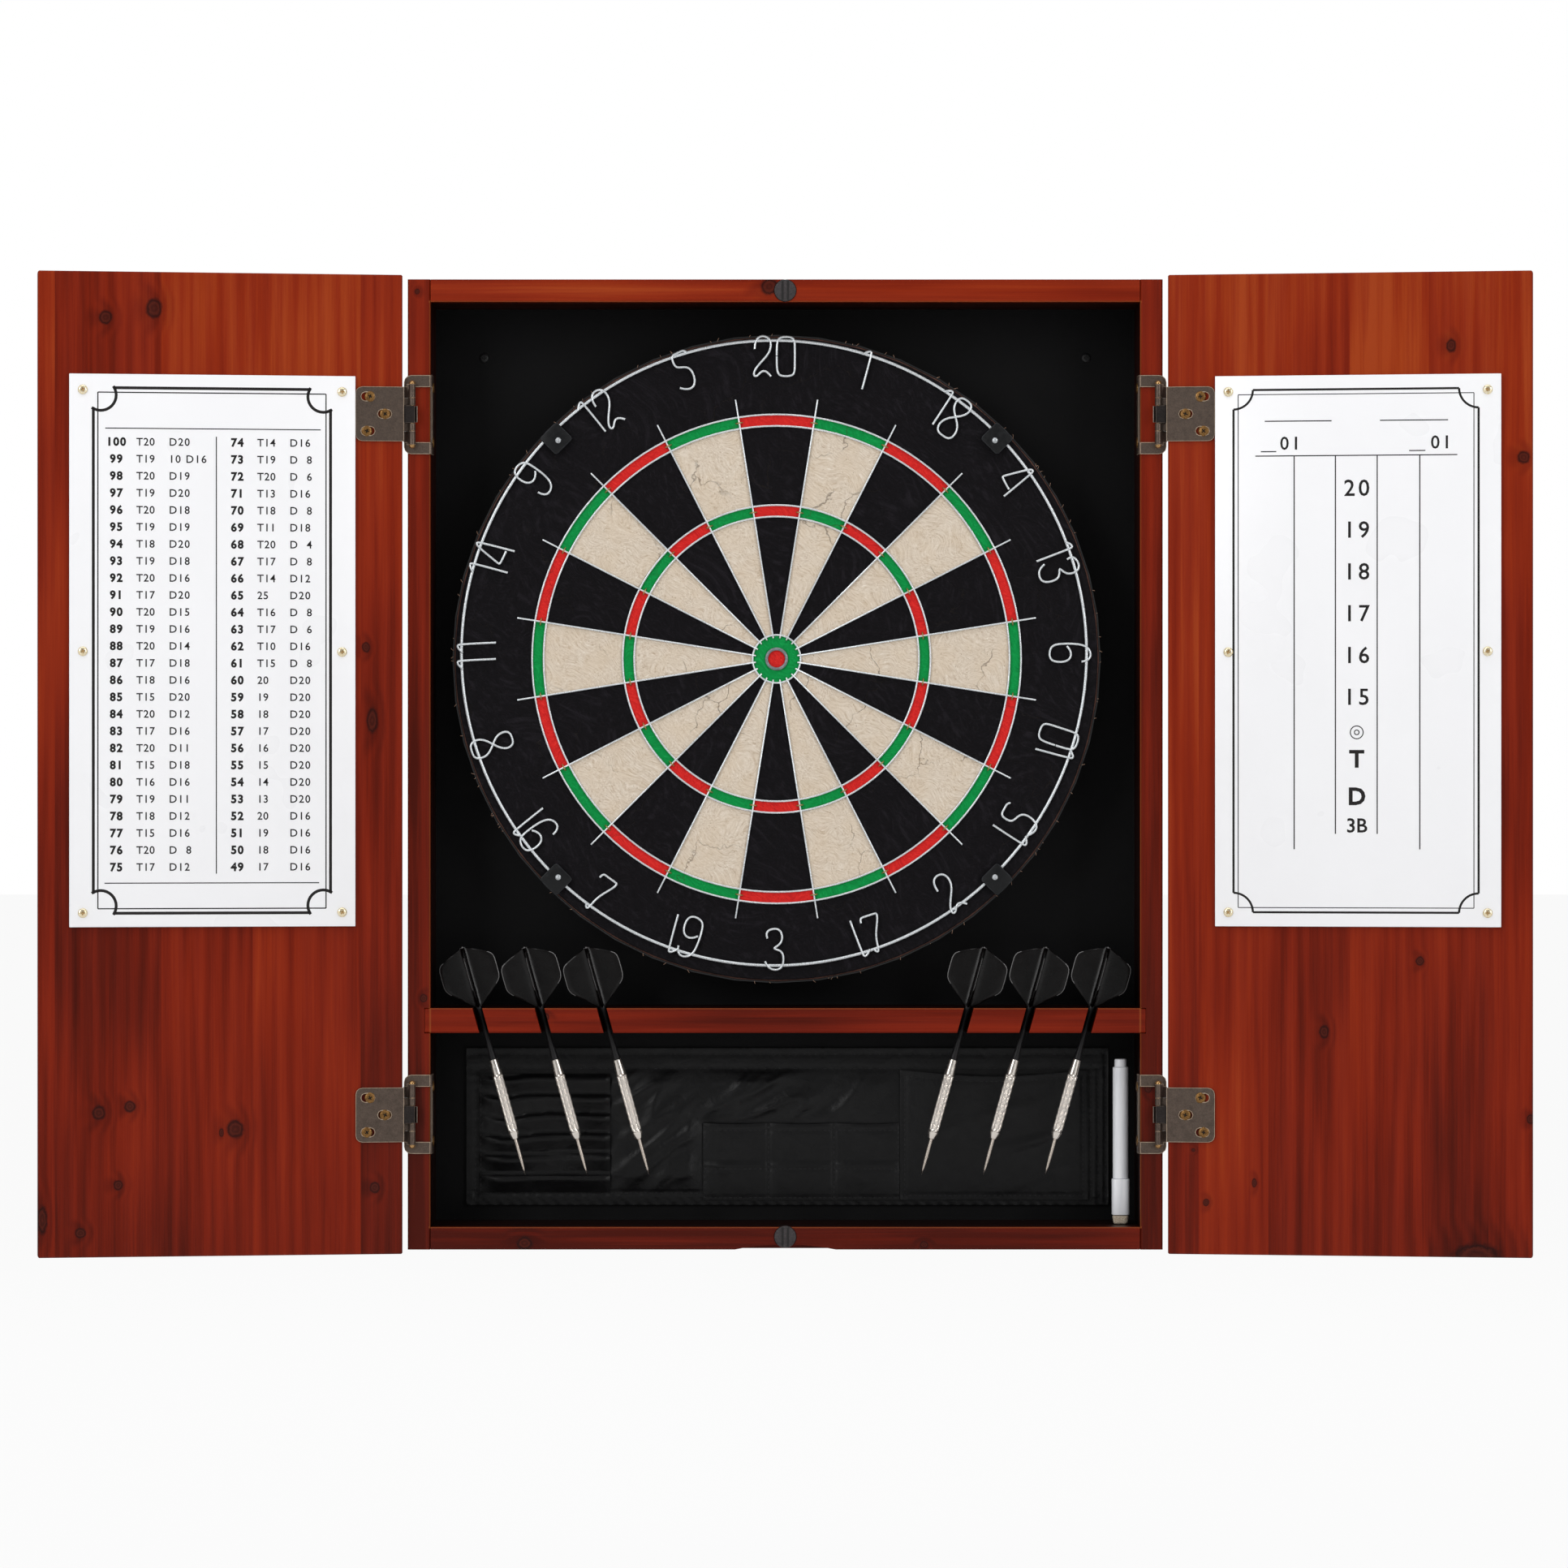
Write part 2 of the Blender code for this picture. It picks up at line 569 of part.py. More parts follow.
def build_door_leaf(name, side, pin, height, material):
    """Plate on the door, its edge bent forward and rolled into two knuckles."""
    lie = DOOR_INNER + SEAT + LEAF / 2
    far = DOOR_LEAF_FAR
    near = DOOR_LEAF_NEAR
    plate = rounded((near, -DOOR_LEAF_HALF), (far, DOOR_LEAF_HALF), LEAF_CORNER)
    square_edge = [(near, -DOOR_LEAF_HALF), *plate[:8], (near, DOOR_LEAF_HALF)]
    bm = prism(mirrored(square_edge, -side), "y", lie - LEAF / 2, lie + LEAF / 2)
    leaf = make_object(name, bm, material, parent=pin, smooth=True)
    bend = near - LEAF / 2
    fold = BEND_RADIUS
    roll = [
        (near + LEAF, lie), (bend + fold, lie), (bend, lie - fold), (bend, fold - CURL_RADIUS),
        (bend - fold, -CURL_RADIUS), *arc((0, 0), CURL_RADIUS, 270, -10, 8),
    ]
    outline = mirrored(sheet(roll, KNUCKLE_WALL), -side)
    knuckles = [
        prism(outline, "z", SPRING_HALF + SEAT, KNUCKLE_SPLIT - SEAT / 2),
        prism(outline, "z", -KNUCKLE_SPLIT + SEAT / 2, -SPRING_HALF - SEAT),
    ]
    combine(leaf, knuckles, "UNION")
    holes = []
    lift_outer = DOOR_LEAF_HALF - LEAF_SLOT_EDGE
    for inset, lift in (
        (LEAF_SLOT_FAR, lift_outer), (LEAF_SLOT_MIDDLE, 0.0), (LEAF_SLOT_FAR, -lift_outer)
    ):
        half = LEAF_SLOT_LENGTH / 2 - LEAF_SLOT_RADIUS
        middle = far - inset
        shape = [
            *arc((middle + half, lift), LEAF_SLOT_RADIUS, -90, 90, 4),
            *arc((middle - half, lift), LEAF_SLOT_RADIUS, 90, 270, 4),
        ]
        holes.append(prism(mirrored(shape, -side), "y", -PANEL, PANEL))
    combine(leaf, holes, "DIFFERENCE")
    leaf.location = (0, 0, height)
    return leaf


def build_frame_leaf(name, side, place, material):
    """Plate wrapped round the side's inner corner; a window clears the door leaf of a closed door.

    Its two outer ends are rolled into the end knuckles.
    """
    lie = PIN_FORWARD - SEAT - LEAF / 2
    inner = INNER_HALF - PIN_X - SEAT - LEAF / 2
    outer = PIN_INSET + FRAME_LEAF_PROUD
    bend = LEAF / 2 + BEND_RADIUS
    corner = arc((inner + bend, lie + bend), bend, 180, 270, 3)
    wrap = [(inner, PIN_FORWARD + FRAME_FLANGE), *corner, (outer, lie)]
    bm = prism(mirrored(sheet(wrap, LEAF), side), "z", -FRAME_LEAF_HALF, FRAME_LEAF_HALF)
    leaf = make_object(name, bm, material, smooth=True)
    window = block(
        (inner - PANEL, lie - PANEL, -FRAME_WINDOW_HALF),
        (outer + PANEL, PIN_FORWARD + SEAT, FRAME_WINDOW_HALF),
    )
    cuts = [window, corner_tool(outer, 1, lie), corner_tool(outer, -1, lie)]
    for lift in (-DOOR_LEAF_HALF, DOOR_LEAF_HALF):
        hole = turn(drill(FLANGE_HOLE, -LEAF, LEAF), math.radians(90), "Y")
        cuts.append(move(hole, (inner, PIN_FORWARD + FRAME_FLANGE / 2, lift)))
    if side < 0:
        for bm in cuts:
            bmesh.ops.scale(bm, verts=bm.verts, vec=(-1, 1, 1))
            bmesh.ops.reverse_faces(bm, faces=bm.faces)
    combine(leaf, cuts, "DIFFERENCE")
    roll = [
        (outer, lie), (outer - 4 * BEND_RADIUS, lie),
        (PIN_RADIUS + BEND_RADIUS, CURL_RADIUS + BEND_RADIUS),
        *arc((0, 0), CURL_RADIUS, 90, 370, 8),
    ]
    outline = mirrored(sheet(roll, KNUCKLE_WALL), side)
    knuckles = [
        prism(outline, "z", KNUCKLE_SPLIT + SEAT / 2, KNUCKLE_END),
        prism(outline, "z", -KNUCKLE_END, -KNUCKLE_SPLIT - SEAT / 2),
    ]
    combine(leaf, knuckles, "UNION")
    leaf.location = place
    return leaf


def corner_tool(outer, end, lie):
    """Wedge that rounds one outer corner of the frame leaf's ring plate."""
    radius = FRAME_CORNER
    high = FRAME_LEAF_HALF
    curve = arc((outer - radius, high - radius), radius, 0, 90, 3)
    beyond = outer + radius
    shape = [(beyond, high - radius), *curve, (outer - radius, high + radius), (beyond, high + radius)]
    shape = [(a, end * b) for a, b in shape]
    return prism(shape, "y", lie - PANEL, lie + LEAF)


def build_pin(name, side, place, material):
    """Hinge pin with a domed head at each end."""
    start = KNUCKLE_END + SEAT
    dome = arc((0, start), (PIN_HEAD, PIN_DOME), 0, 90, 3)
    upper = [(PIN_RADIUS, start), *dome[:-1], (0, start + PIN_DOME)]
    profile = [(radius, -height) for radius, height in reversed(upper)] + upper
    return make_object(name, lathe(profile, SHAFT_STEPS), material, location=place, smooth=True)


def build_spring(name, side, place, material):
    """Flat closer spring round the pin, between the knuckles, with a small tab."""
    radius = PIN_RADIUS + SEAT + SPRING_SHEET / 2
    path = [
        *arc((0, 0), radius, 60, 195, 6), (-radius - SPRING_TAB / 2, -radius + 2 * SEAT),
        (-radius - SPRING_TAB, -radius - SEAT),
    ]
    outline = mirrored(sheet(path, SPRING_SHEET), side)
    bm = prism(outline, "z", -SPRING_HALF + SEAT, SPRING_HALF - SEAT)
    return make_object(name, bm, material, location=place, smooth=True)


def build_doors(wood, chart_white, bronze, brass, steel):
    for side, word in ((-1, "left"), (1, "right")):
        pin = make_empty(f"{word}_door_axis", (side * PIN_X, PIN_Y, 0), side * DOOR_OPEN)
        build_door(f"{word}_door", side, pin, wood)
        chart = "checkout_chart" if side < 0 else "score_board"
        build_chart(chart, side, pin, chart_white)
        for level, height in (("upper", HINGE_HEIGHT), ("lower", -HINGE_HEIGHT)):
            place = (side * PIN_X, PIN_Y, height)
            build_door_leaf(f"{word}_{level}_door_leaf", side, pin, height, bronze)
            build_frame_leaf(f"{word}_{level}_frame_leaf", side, place, bronze)
            build_pin(f"{word}_{level}_hinge_pin", side, place, brass)
            build_spring(f"{word}_{level}_closer_spring", side, place, steel)


# ---------------------------------------------------------------- dartboard

BRACKET_FACE = -BACK_SHEET - SEAT - BRACKET_RISE        # front of the wall bracket
BOARD_BACK = BRACKET_FACE - BOARD_CLEAR
FIBRE_BACK = BOARD_BACK - BACKING - SEAT
BOARD_FACE = FIBRE_BACK - FIBRE
BOARD_CENTRE = Vector((BOARD_SIDE, 0.0, SHELF_TOP + BOARD_HEIGHT))
NUMBERS = (20, 1, 18, 4, 13, 6, 10, 15, 2, 17, 3, 19, 7, 16, 8, 11, 14, 9, 12, 5)
HEAD_IN = (10, 15, 2, 17, 3, 19, 7, 16, 8)              # read upright in the board's lower half


def build_board(parent, chipboard, fibre, black_metal):
    """Backing disc, pressed fibre disc and the band round both."""
    core = BOARD_RADIUS - RIM_BAND - SEAT
    hole = SCREW_SHANK + SEAT
    backing_profile = [
        (hole, 0), (core, 0), (core, BACKING), (0, BACKING), (0, HANG_DEPTH), (hole, HANG_DEPTH),
    ]
    backing = facing_front(lathe(backing_profile, DISC_STEPS, closed=True))
    make_object("board_backing", backing, chipboard, parent, (0, BOARD_BACK, 0), smooth=True)
    edge = FIBRE_EASE
    fibre_profile = [(0, 0), (core, 0), (core, FIBRE - edge), (core - edge, FIBRE), (0, FIBRE)]
    disc = facing_front(lathe(fibre_profile, DISC_STEPS))
    make_object("fibre_disc", disc, fibre, parent, (0, FIBRE_BACK, 0), smooth=True)
    tall = BOARD_BACK - BOARD_FACE - edge
    inside = BOARD_RADIUS - RIM_BAND
    band_profile = [(inside, 0), (BOARD_RADIUS, 0), (BOARD_RADIUS, tall), (inside, tall)]
    band = facing_front(lathe(band_profile, DISC_STEPS, closed=True))
    make_object("rim_band", band, black_metal, parent, (0, BOARD_BACK, 0), smooth=True)


def build_spider(parent, wire_metal):
    """Scoring web: four bed rings and the bull ring crossed by twenty radial wires, as one grid."""
    half = WIRE / 2
    rings = [
        (BULL_RADIUS, 1), (TREBLE_RADIUS - BED_WIDTH, 2), (TREBLE_RADIUS, 2),
        (DOUBLE_RADIUS - BED_WIDTH, 2), (DOUBLE_RADIUS, 2),
    ]
    levels = [(RADIAL_INNER, 0)]
    for radius, steps in rings:
        levels += [(radius - half, steps), (radius + half, 0)]
    levels.append((RADIAL_OUTER, 0))
    bm = bmesh.new()
    corners = {}

    def corner(level, sector, part):
        """Part 0 and 1 are a radial wire's edges, 2 and up lie on the ring after it."""
        key = (level, sector % 20, part)
        if key not in corners:
            radius = levels[level][0]
            spread = math.asin(half / radius)
            angle = math.radians(9 + 18 * sector)
            if part == 0:
                angle -= spread
            else:
                steps = max(levels[level][1], levels[level - 1][1]) or 1
                span = math.radians(18) - 2 * spread
                angle += spread + span * (part - 1) / steps
            corners[key] = bm.verts.new((radius * math.sin(angle), 0, radius * math.cos(angle)))
        return corners[key]

    for sector in range(20):
        for level in range(len(levels) - 1):
            bm.faces.new([
                corner(level, sector, 0), corner(level, sector, 1),
                corner(level + 1, sector, 1), corner(level + 1, sector, 0),
            ])
            steps = levels[level][1]
            for part in range(1, steps + 1):
                ends = (sector, part + 1) if part < steps else (sector + 1, 0)
                bm.faces.new([
                    corner(level, sector, part), corner(level, *ends),
                    corner(level + 1, *ends), corner(level + 1, sector, part),
                ])
    grown = bmesh.ops.extrude_face_region(bm, geom=bm.faces[:])
    front = [item for item in grown["geom"] if isinstance(item, bmesh.types.BMVert)]
    bmesh.ops.translate(bm, verts=front, vec=(0, -WIRE, 0))
    bmesh.ops.recalc_face_normals(bm, faces=bm.faces)
    make_object("spider", bm, wire_metal, parent, (0, BOARD_FACE - SEAT, 0))
    profile = [
        (BULLSEYE_RADIUS, 0), (BULLSEYE_RADIUS + WIRE, 0),
        (BULLSEYE_RADIUS + WIRE, WIRE), (BULLSEYE_RADIUS, WIRE),
    ]
    ring = facing_front(lathe(profile, 24, closed=True))
    make_object("bullseye_ring", ring, wire_metal, parent, (0, BOARD_FACE - SEAT, 0), smooth=True)


def digit_strokes(digit):
    """Bent-wire strokes of one numeral in a unit box, each a list of points and whether it closes."""
    shapes = {
        0: [(arc((0.5, 0.5), (0.5, 0.5), 90, 450, 12)[:-1], True)],
        1: [([(0.5, 0.0), (0.5, 1.0)], False)],
        2: [(arc((0.5, 0.72), (0.46, 0.28), 165, -25, 6) + [(0.02, 0.0), (1.0, 0.0)], False)],
        3: [(
            arc((0.46, 0.76), (0.44, 0.24), 155, -85, 6)
            + arc((0.46, 0.26), (0.54, 0.26), 85, -155, 7),
            False,
        )],
        4: [([(1.0, 0.32), (0.0, 0.32), (0.72, 1.0), (0.72, 0.0)], False)],
        5: [([(0.92, 1.0), (0.18, 1.0)] + arc((0.46, 0.31), (0.54, 0.31), 128, -150, 8), False)],
        6: [
            (arc((0.9, 0.4), (0.86, 0.6), 100, 175, 4), False),
            (arc((0.5, 0.3), (0.48, 0.3), 90, 450, 10)[:-1], True),
        ],
        7: [([(0.02, 1.0), (1.0, 1.0), (0.32, 0.0)], False)],
        8: [
            (arc((0.5, 0.77), (0.4, 0.23), 90, 450, 9)[:-1], True),
            (arc((0.5, 0.28), (0.5, 0.28), 90, 450, 10)[:-1], True),
        ],
    }
    if digit == 9:
        turned = []
        for points, closed in shapes[6]:
            turned.append(([(1 - x, 1 - y) for x, y in points], closed))
        return turned
    return shapes[digit]


def wire_tube(points, radius, closed):
    """Four-sided wire along flat points (x across, y up the numeral), laid in the X-Z plane."""
    bm = bmesh.new()
    line = [Vector(point) for point in points]
    count = len(line)
    rings = []
    for index, point in enumerate(line):
        before = line[index - 1] if closed or index else point
        after = line[(index + 1) % count] if closed or index < count - 1 else point
        entering = (point - before).normalized() if point != before else (after - point).normalized()
        leaving = (after - point).normalized() if after != point else entering
        normal = (entering.orthogonal() + leaving.orthogonal()).normalized()
        reach = radius / max(normal.dot(entering.orthogonal()), 0.45)
        aside = normal * reach
        sides = [(point + aside, 0.0), (point, radius), (point - aside, 0.0), (point, -radius)]
        rings.append([bm.verts.new((flat.x, depth, flat.y)) for flat, depth in sides])
    pairs = list(zip(rings, rings[1:]))
    if closed:
        pairs.append((rings[-1], rings[0]))
    else:
        bm.faces.new(rings[0])
        bm.faces.new(rings[-1])
    for first, second in pairs:
        for corner in range(4):
            following = (corner + 1) % 4
            bm.faces.new([first[corner], first[following], second[following], second[corner]])
    bmesh.ops.recalc_face_normals(bm, faces=bm.faces)
    return bm


def numeral_wires():
    """Each number's strokes, scaled and turned to its place under the wire ring."""
    tubes = []
    for place, number in enumerate(NUMBERS):
        angle = math.radians(18 * place)
        outward = Vector((math.sin(angle), math.cos(angle)))
        along = Vector((math.cos(angle), -math.sin(angle)))
        if number in HEAD_IN:
            foot = outward * RING_RADIUS
            rise = -outward
            along = -along
        else:
            foot = outward * (RING_RADIUS - NUMERAL_HEIGHT)
            rise = outward
        text = str(number)
        step = NUMERAL_WIDTH + NUMERAL_GAP
        for index, letter in enumerate(text):
            shift = (index - (len(text) - 1) / 2) * step
            for points, closed in digit_strokes(int(letter)):
                placed = []
                for x, y in points:
                    across = (x - 0.5) * NUMERAL_WIDTH + shift
                    placed.append(foot + along * across + rise * y * NUMERAL_HEIGHT)
                tubes.append(move(wire_tube(placed, NUMERAL_WIRE, closed), (0, -NUMERAL_PROUD, 0)))
    return tubes


def build_number_ring(parent, wire_metal):
    profile = arc((RING_RADIUS, 0), RING_WIRE, 0, 360, 4)[:-1]
    ring = facing_front(lathe(profile, DISC_STEPS, closed=True))
    obj = make_object("number_ring", ring, wire_metal)
    combine(obj, numeral_wires(), "UNION")
    obj.parent = parent
    obj.location = (0, BOARD_FACE - SEAT - RING_WIRE, 0)
    return obj


def build_clips(parent, plastic):
    """Four square clips on the board's face, grooved underneath for the number ring."""
    for number in range(4):
        half = CLIP_SIZE / 2
        outline = rounded((-half, -half), (half, half), CLIP_CORNER, 2)
        bm = prism(outline, "y", -CLIP_THICK, 0.0)
        name = f"ring_clip_{number + 1}"
        clip = make_object(name, bm, plastic)
        room = RING_WIRE + SEAT
        fall = half * math.tan(math.pi / DISC_STEPS)
        ring = RING_RADIUS - CLIP_RADIUS
        groove = block((-CLIP_SIZE, -2 * room, ring - room - fall), (CLIP_SIZE, CLIP_THICK, ring + room))
        combine(clip, [groove], "DIFFERENCE")
        angle = math.radians(45 + 90 * number)
        clip.parent = parent
        clip.location = (CLIP_RADIUS * math.sin(angle), BOARD_FACE - SEAT, CLIP_RADIUS * math.cos(angle))
        clip.rotation_euler = (0, angle, 0)


def build_hanger(parent, steel):
    """Raised wall bracket with an open notch, and the screw in the board that hangs in it."""
    base = -BACK_SHEET - SEAT - BRACKET_SHEET / 2
    face = BRACKET_FACE + BRACKET_SHEET / 2
    far = BRACKET_HALF + BRACKET_FOOT
    top = BRACKET_HALF - BRACKET_SLOPE
    path = [
        (-far, base), (-BRACKET_HALF, base), (-top, face),
        (top, face), (BRACKET_HALF, base), (far, base),
    ]
    half = BRACKET_HEIGHT / 2
    bracket = make_object("wall_bracket", prism(sheet(path, BRACKET_SHEET), "z", -half, half), steel)
    notch_radius = SCREW_SHANK + SEAT
    above = half + PANEL
    seat = arc((0, 0), notch_radius, 180, 360, 8)
    shape = [(notch_radius, above), (-notch_radius, above), *seat]
    combine(bracket, [prism(shape, "y", face - BRACKET_SHEET, face + BRACKET_SHEET)], "DIFFERENCE")
    bracket.location = BOARD_CENTRE
    head_front = BRACKET_FACE + BRACKET_SHEET + SEAT - BOARD_BACK
    tip = HANG_DEPTH - SEAT
    profile = [
        (0, -head_front - SCREW_HEAD_THICK), (SCREW_HEAD * 0.8, -head_front - SCREW_HEAD_THICK),
        (SCREW_HEAD, -head_front - SCREW_HEAD_THICK / 2), (SCREW_HEAD, -head_front),
        (SCREW_SHANK, -head_front), (SCREW_SHANK, tip - SCREW_SHANK / 2), (0, tip),
    ]
    screw = facing_front(lathe(profile, MARKER_STEPS))
    make_object("hanging_screw", screw, steel, parent, (0, BOARD_BACK, 0), smooth=True)


# ---------------------------------------------------------------- darts


def dart_places():
    """Where each dart's axis crosses the divider's top, and how it leans."""
    places = []
    for side in (-1, 1):
        order = range(DART_COUNT) if side < 0 else reversed(range(DART_COUNT))
        for step in order:
            across = side * (INNER_HALF - DART_FIRST - step * DART_PITCH)
            location = Vector((across, FRONT + DART_DEPTH, SHELF_TOP))
            places.append({"location": location, "lean": side * DART_LEAN})
    return places


def dart_barrel():
    """Point and barrel about Z, measured down from the barrel's rear face at 0."""
    low = -BARREL_LENGTH
    tip = low - POINT_LENGTH
    profile = [
        (0, tip), (POINT_RADIUS, tip + POINT_LENGTH * 0.55),
        (POINT_RADIUS, low), (BARREL_RADIUS * 0.58, low), (BARREL_RADIUS * 0.9, low + BARREL_NOSE * 0.6),
        (BARREL_RADIUS, low + BARREL_NOSE), (BARREL_RADIUS, -BARREL_TAIL), (SHAFT_RADIUS, 0), (0, 0),
    ]
    return lathe(profile, SHAFT_STEPS)


def dart_shaft():
    """Tapered shaft about Z, from the barrel at 0 up into the flights."""
    top = SHAFT_LENGTH + FLIGHT_LENGTH * 0.45
    profile = [
        (0, SEAT), (SHAFT_RADIUS, SEAT), (SHAFT_RADIUS * 0.68, SHAFT_LENGTH * 0.4),
        (SHAFT_RADIUS * 0.8, SHAFT_LENGTH),
        (SHAFT_RADIUS * 0.5, top), (0, top),
    ]
    return lathe(profile, HOLE_STEPS)


def flight_plate(across):
    """Two wings of a flight in one plane; across is the axis they spread along."""
    low = SHAFT_LENGTH - FLIGHT_SEAT
    high = SHAFT_LENGTH + FLIGHT_LENGTH
    half = [
        (SHAFT_RADIUS * 0.4, low), (FLIGHT_HALF * 0.93, low + FLIGHT_LENGTH * 0.36),
        (FLIGHT_HALF, low + FLIGHT_LENGTH * 0.46), (FLIGHT_HALF, low + FLIGHT_LENGTH * FLIGHT_SHOULDER),
        (0.0, high),
    ]
    outline = half + [(-a, b) for a, b in reversed(half[:-1])]
    plane = "y" if across == "x" else "x"
    return prism(outline, plane, -FLIGHT_THICK / 2, FLIGHT_THICK / 2)


def build_darts(nickel, black_nylon):
    """Six darts hung by their flights in the divider's slots."""
    barrel = None
    shaft = None
    for number, place in enumerate(dart_places(), start=1):
        axis = make_empty(f"dart_{number}_axis", place["location"], place["lean"], "Y")
        drop = (0, 0, FLIGHT_SEAT - SHAFT_LENGTH - FLIGHT_HANG)
        if barrel is None:
            barrel = make_object(f"dart_{number}_barrel", dart_barrel(), nickel, axis, drop, smooth=True)
            shaft = make_object(f"dart_{number}_flight", dart_shaft(), black_nylon, smooth=True)
            combine(shaft, [flight_plate("x"), flight_plate("y")], "UNION")
            shaft.parent = axis
            shaft.location = drop
        else:
            copy_object(barrel, f"dart_{number}_barrel", axis, drop)
            copy_object(shaft, f"dart_{number}_flight", axis, drop)


# ---------------------------------------------------------------- wallet


def build_wallet(nylon):
    """Open tri-fold wallet against the back: plain closed solids for its layers."""
    back = -BACK_SHEET - SEAT
    left = -INNER_HALF + WALLET_LEFT
    right = INNER_HALF - WALLET_RIGHT
    low = FLOOR + WALLET_LIFT
    high = low + WALLET_HEIGHT
    front = back - WALLET_SHEET
    base = rounded((left, low), (right, high), WALLET_CORNER)
    make_object("wallet_back", prism(base, "y", front, back), nylon)
    seat = front - SEAT
    sleeve_low = low + HEM
    pitch = (WALLET_HEIGHT - 3 * HEM) / SLEEVE_COUNT
    profile = [(seat, sleeve_low)]
    for step in range(SLEEVE_COUNT):
        base_height = sleeve_low + step * pitch
        profile += [
            (seat - SLEEVE_RISE * 0.35, base_height + pitch * 0.04),
            (seat - SLEEVE_RISE, base_height + pitch * 0.38),
            (seat - SLEEVE_RISE * 0.85, base_height + pitch * 0.75),
        ]
    profile.append((seat, sleeve_low + SLEEVE_COUNT * pitch))
    sleeves_left = left + HEM
    sleeves = prism(profile, "x", sleeves_left, sleeves_left + SLEEVE_WIDTH)
    make_object("wallet_sleeves", sleeves, nylon)
    large_right = right - SIDE_HEM
    large_left = large_right - LARGE_WIDTH
    large_low = low + POCKET_LIFT
    large_front = seat - LARGE_ROOM - CLOTH
    outer = rectangle((large_left, large_front), (large_right, seat))
    body = prism(outer, "z", large_low, large_low + LARGE_HEIGHT)
    pocket = make_object("wallet_large_pocket", body, nylon)
    room = block(
        (large_left + CLOTH, large_front + CLOTH, large_low + CLOTH),
        (large_right - CLOTH, seat - CLOTH / 2, large_low + 2 * LARGE_HEIGHT),
    )
    combine(pocket, [room], "DIFFERENCE")
    small_left = sleeves_left + SLEEVE_WIDTH + PLAIN_WIDTH
    small = rounded(
        (small_left, large_low), (large_left - SEAT, large_low + SMALL_HEIGHT), POCKET_CORNER, 2
    )
    make_object("wallet_small_pockets", prism(small, "y", seat - SMALL_RISE, seat), nylon)


# ---------------------------------------------------------------- marker


def build_marker(white, felt):
    """Dry-wipe marker standing on its felt-tipped cap at the right of the lower bay."""
    floor = FLOOR + SEAT
    place = (INNER_HALF - MARKER_SIDE - CAP_HALF, FRONT + MARKER_DEPTH)
    pad = CAP_HALF - CAP_NECK
    eraser = prism(rounded((-pad, -pad), (pad, pad), CAP_CORNER - CAP_NECK), "z", 0.0, ERASER_LENGTH)
    for vert in eraser.verts:
        if vert.co.z < ERASER_LENGTH / 2:
            vert.co.x *= 0.86
            vert.co.y *= 0.86
    make_object("marker_eraser", eraser, felt, location=(*place, floor), smooth=True)
    cap_floor = floor + ERASER_LENGTH + SEAT
    body = prism(rounded((-CAP_HALF, -CAP_HALF), (CAP_HALF, CAP_HALF), CAP_CORNER), "z", 0.0, CAP_LENGTH)
    cap = make_object("marker_cap", body, white, smooth=True)
    bore = lathe(
        [(0, CAP_END), (CAP_BORE, CAP_END), (CAP_BORE, 2 * CAP_LENGTH), (0, 2 * CAP_LENGTH)], MARKER_STEPS
    )
    combine(cap, [bore], "DIFFERENCE")
    cap.location = (*place, cap_floor)
    neck = CAP_BORE - SEAT
    low = -NECK_LENGTH
    top = MARKER_BODY
    end = top + MARKER_PLUG
    profile = [
        (0, low), (NIB_RADIUS, low + MARKER_EASE), (NIB_RADIUS, low + NECK_LENGTH * 0.27),
        (NIB_RADIUS * 2, low + NECK_LENGTH * 0.33), (neck, low + NECK_LENGTH * 0.6), (neck, 0),
        (MARKER_RADIUS, 0), (MARKER_RADIUS, top - MARKER_EASE), (MARKER_RADIUS - MARKER_EASE, top),
        (MARKER_PLUG_RADIUS, top), (MARKER_PLUG_RADIUS, end - MARKER_EASE),
        (MARKER_PLUG_RADIUS - MARKER_EASE, end), (0, end),
    ]
    pen_place = (*place, cap_floor + CAP_LENGTH + SEAT)
    make_object("marker_pen", lathe(profile, MARKER_STEPS), white, location=pen_place, smooth=True)


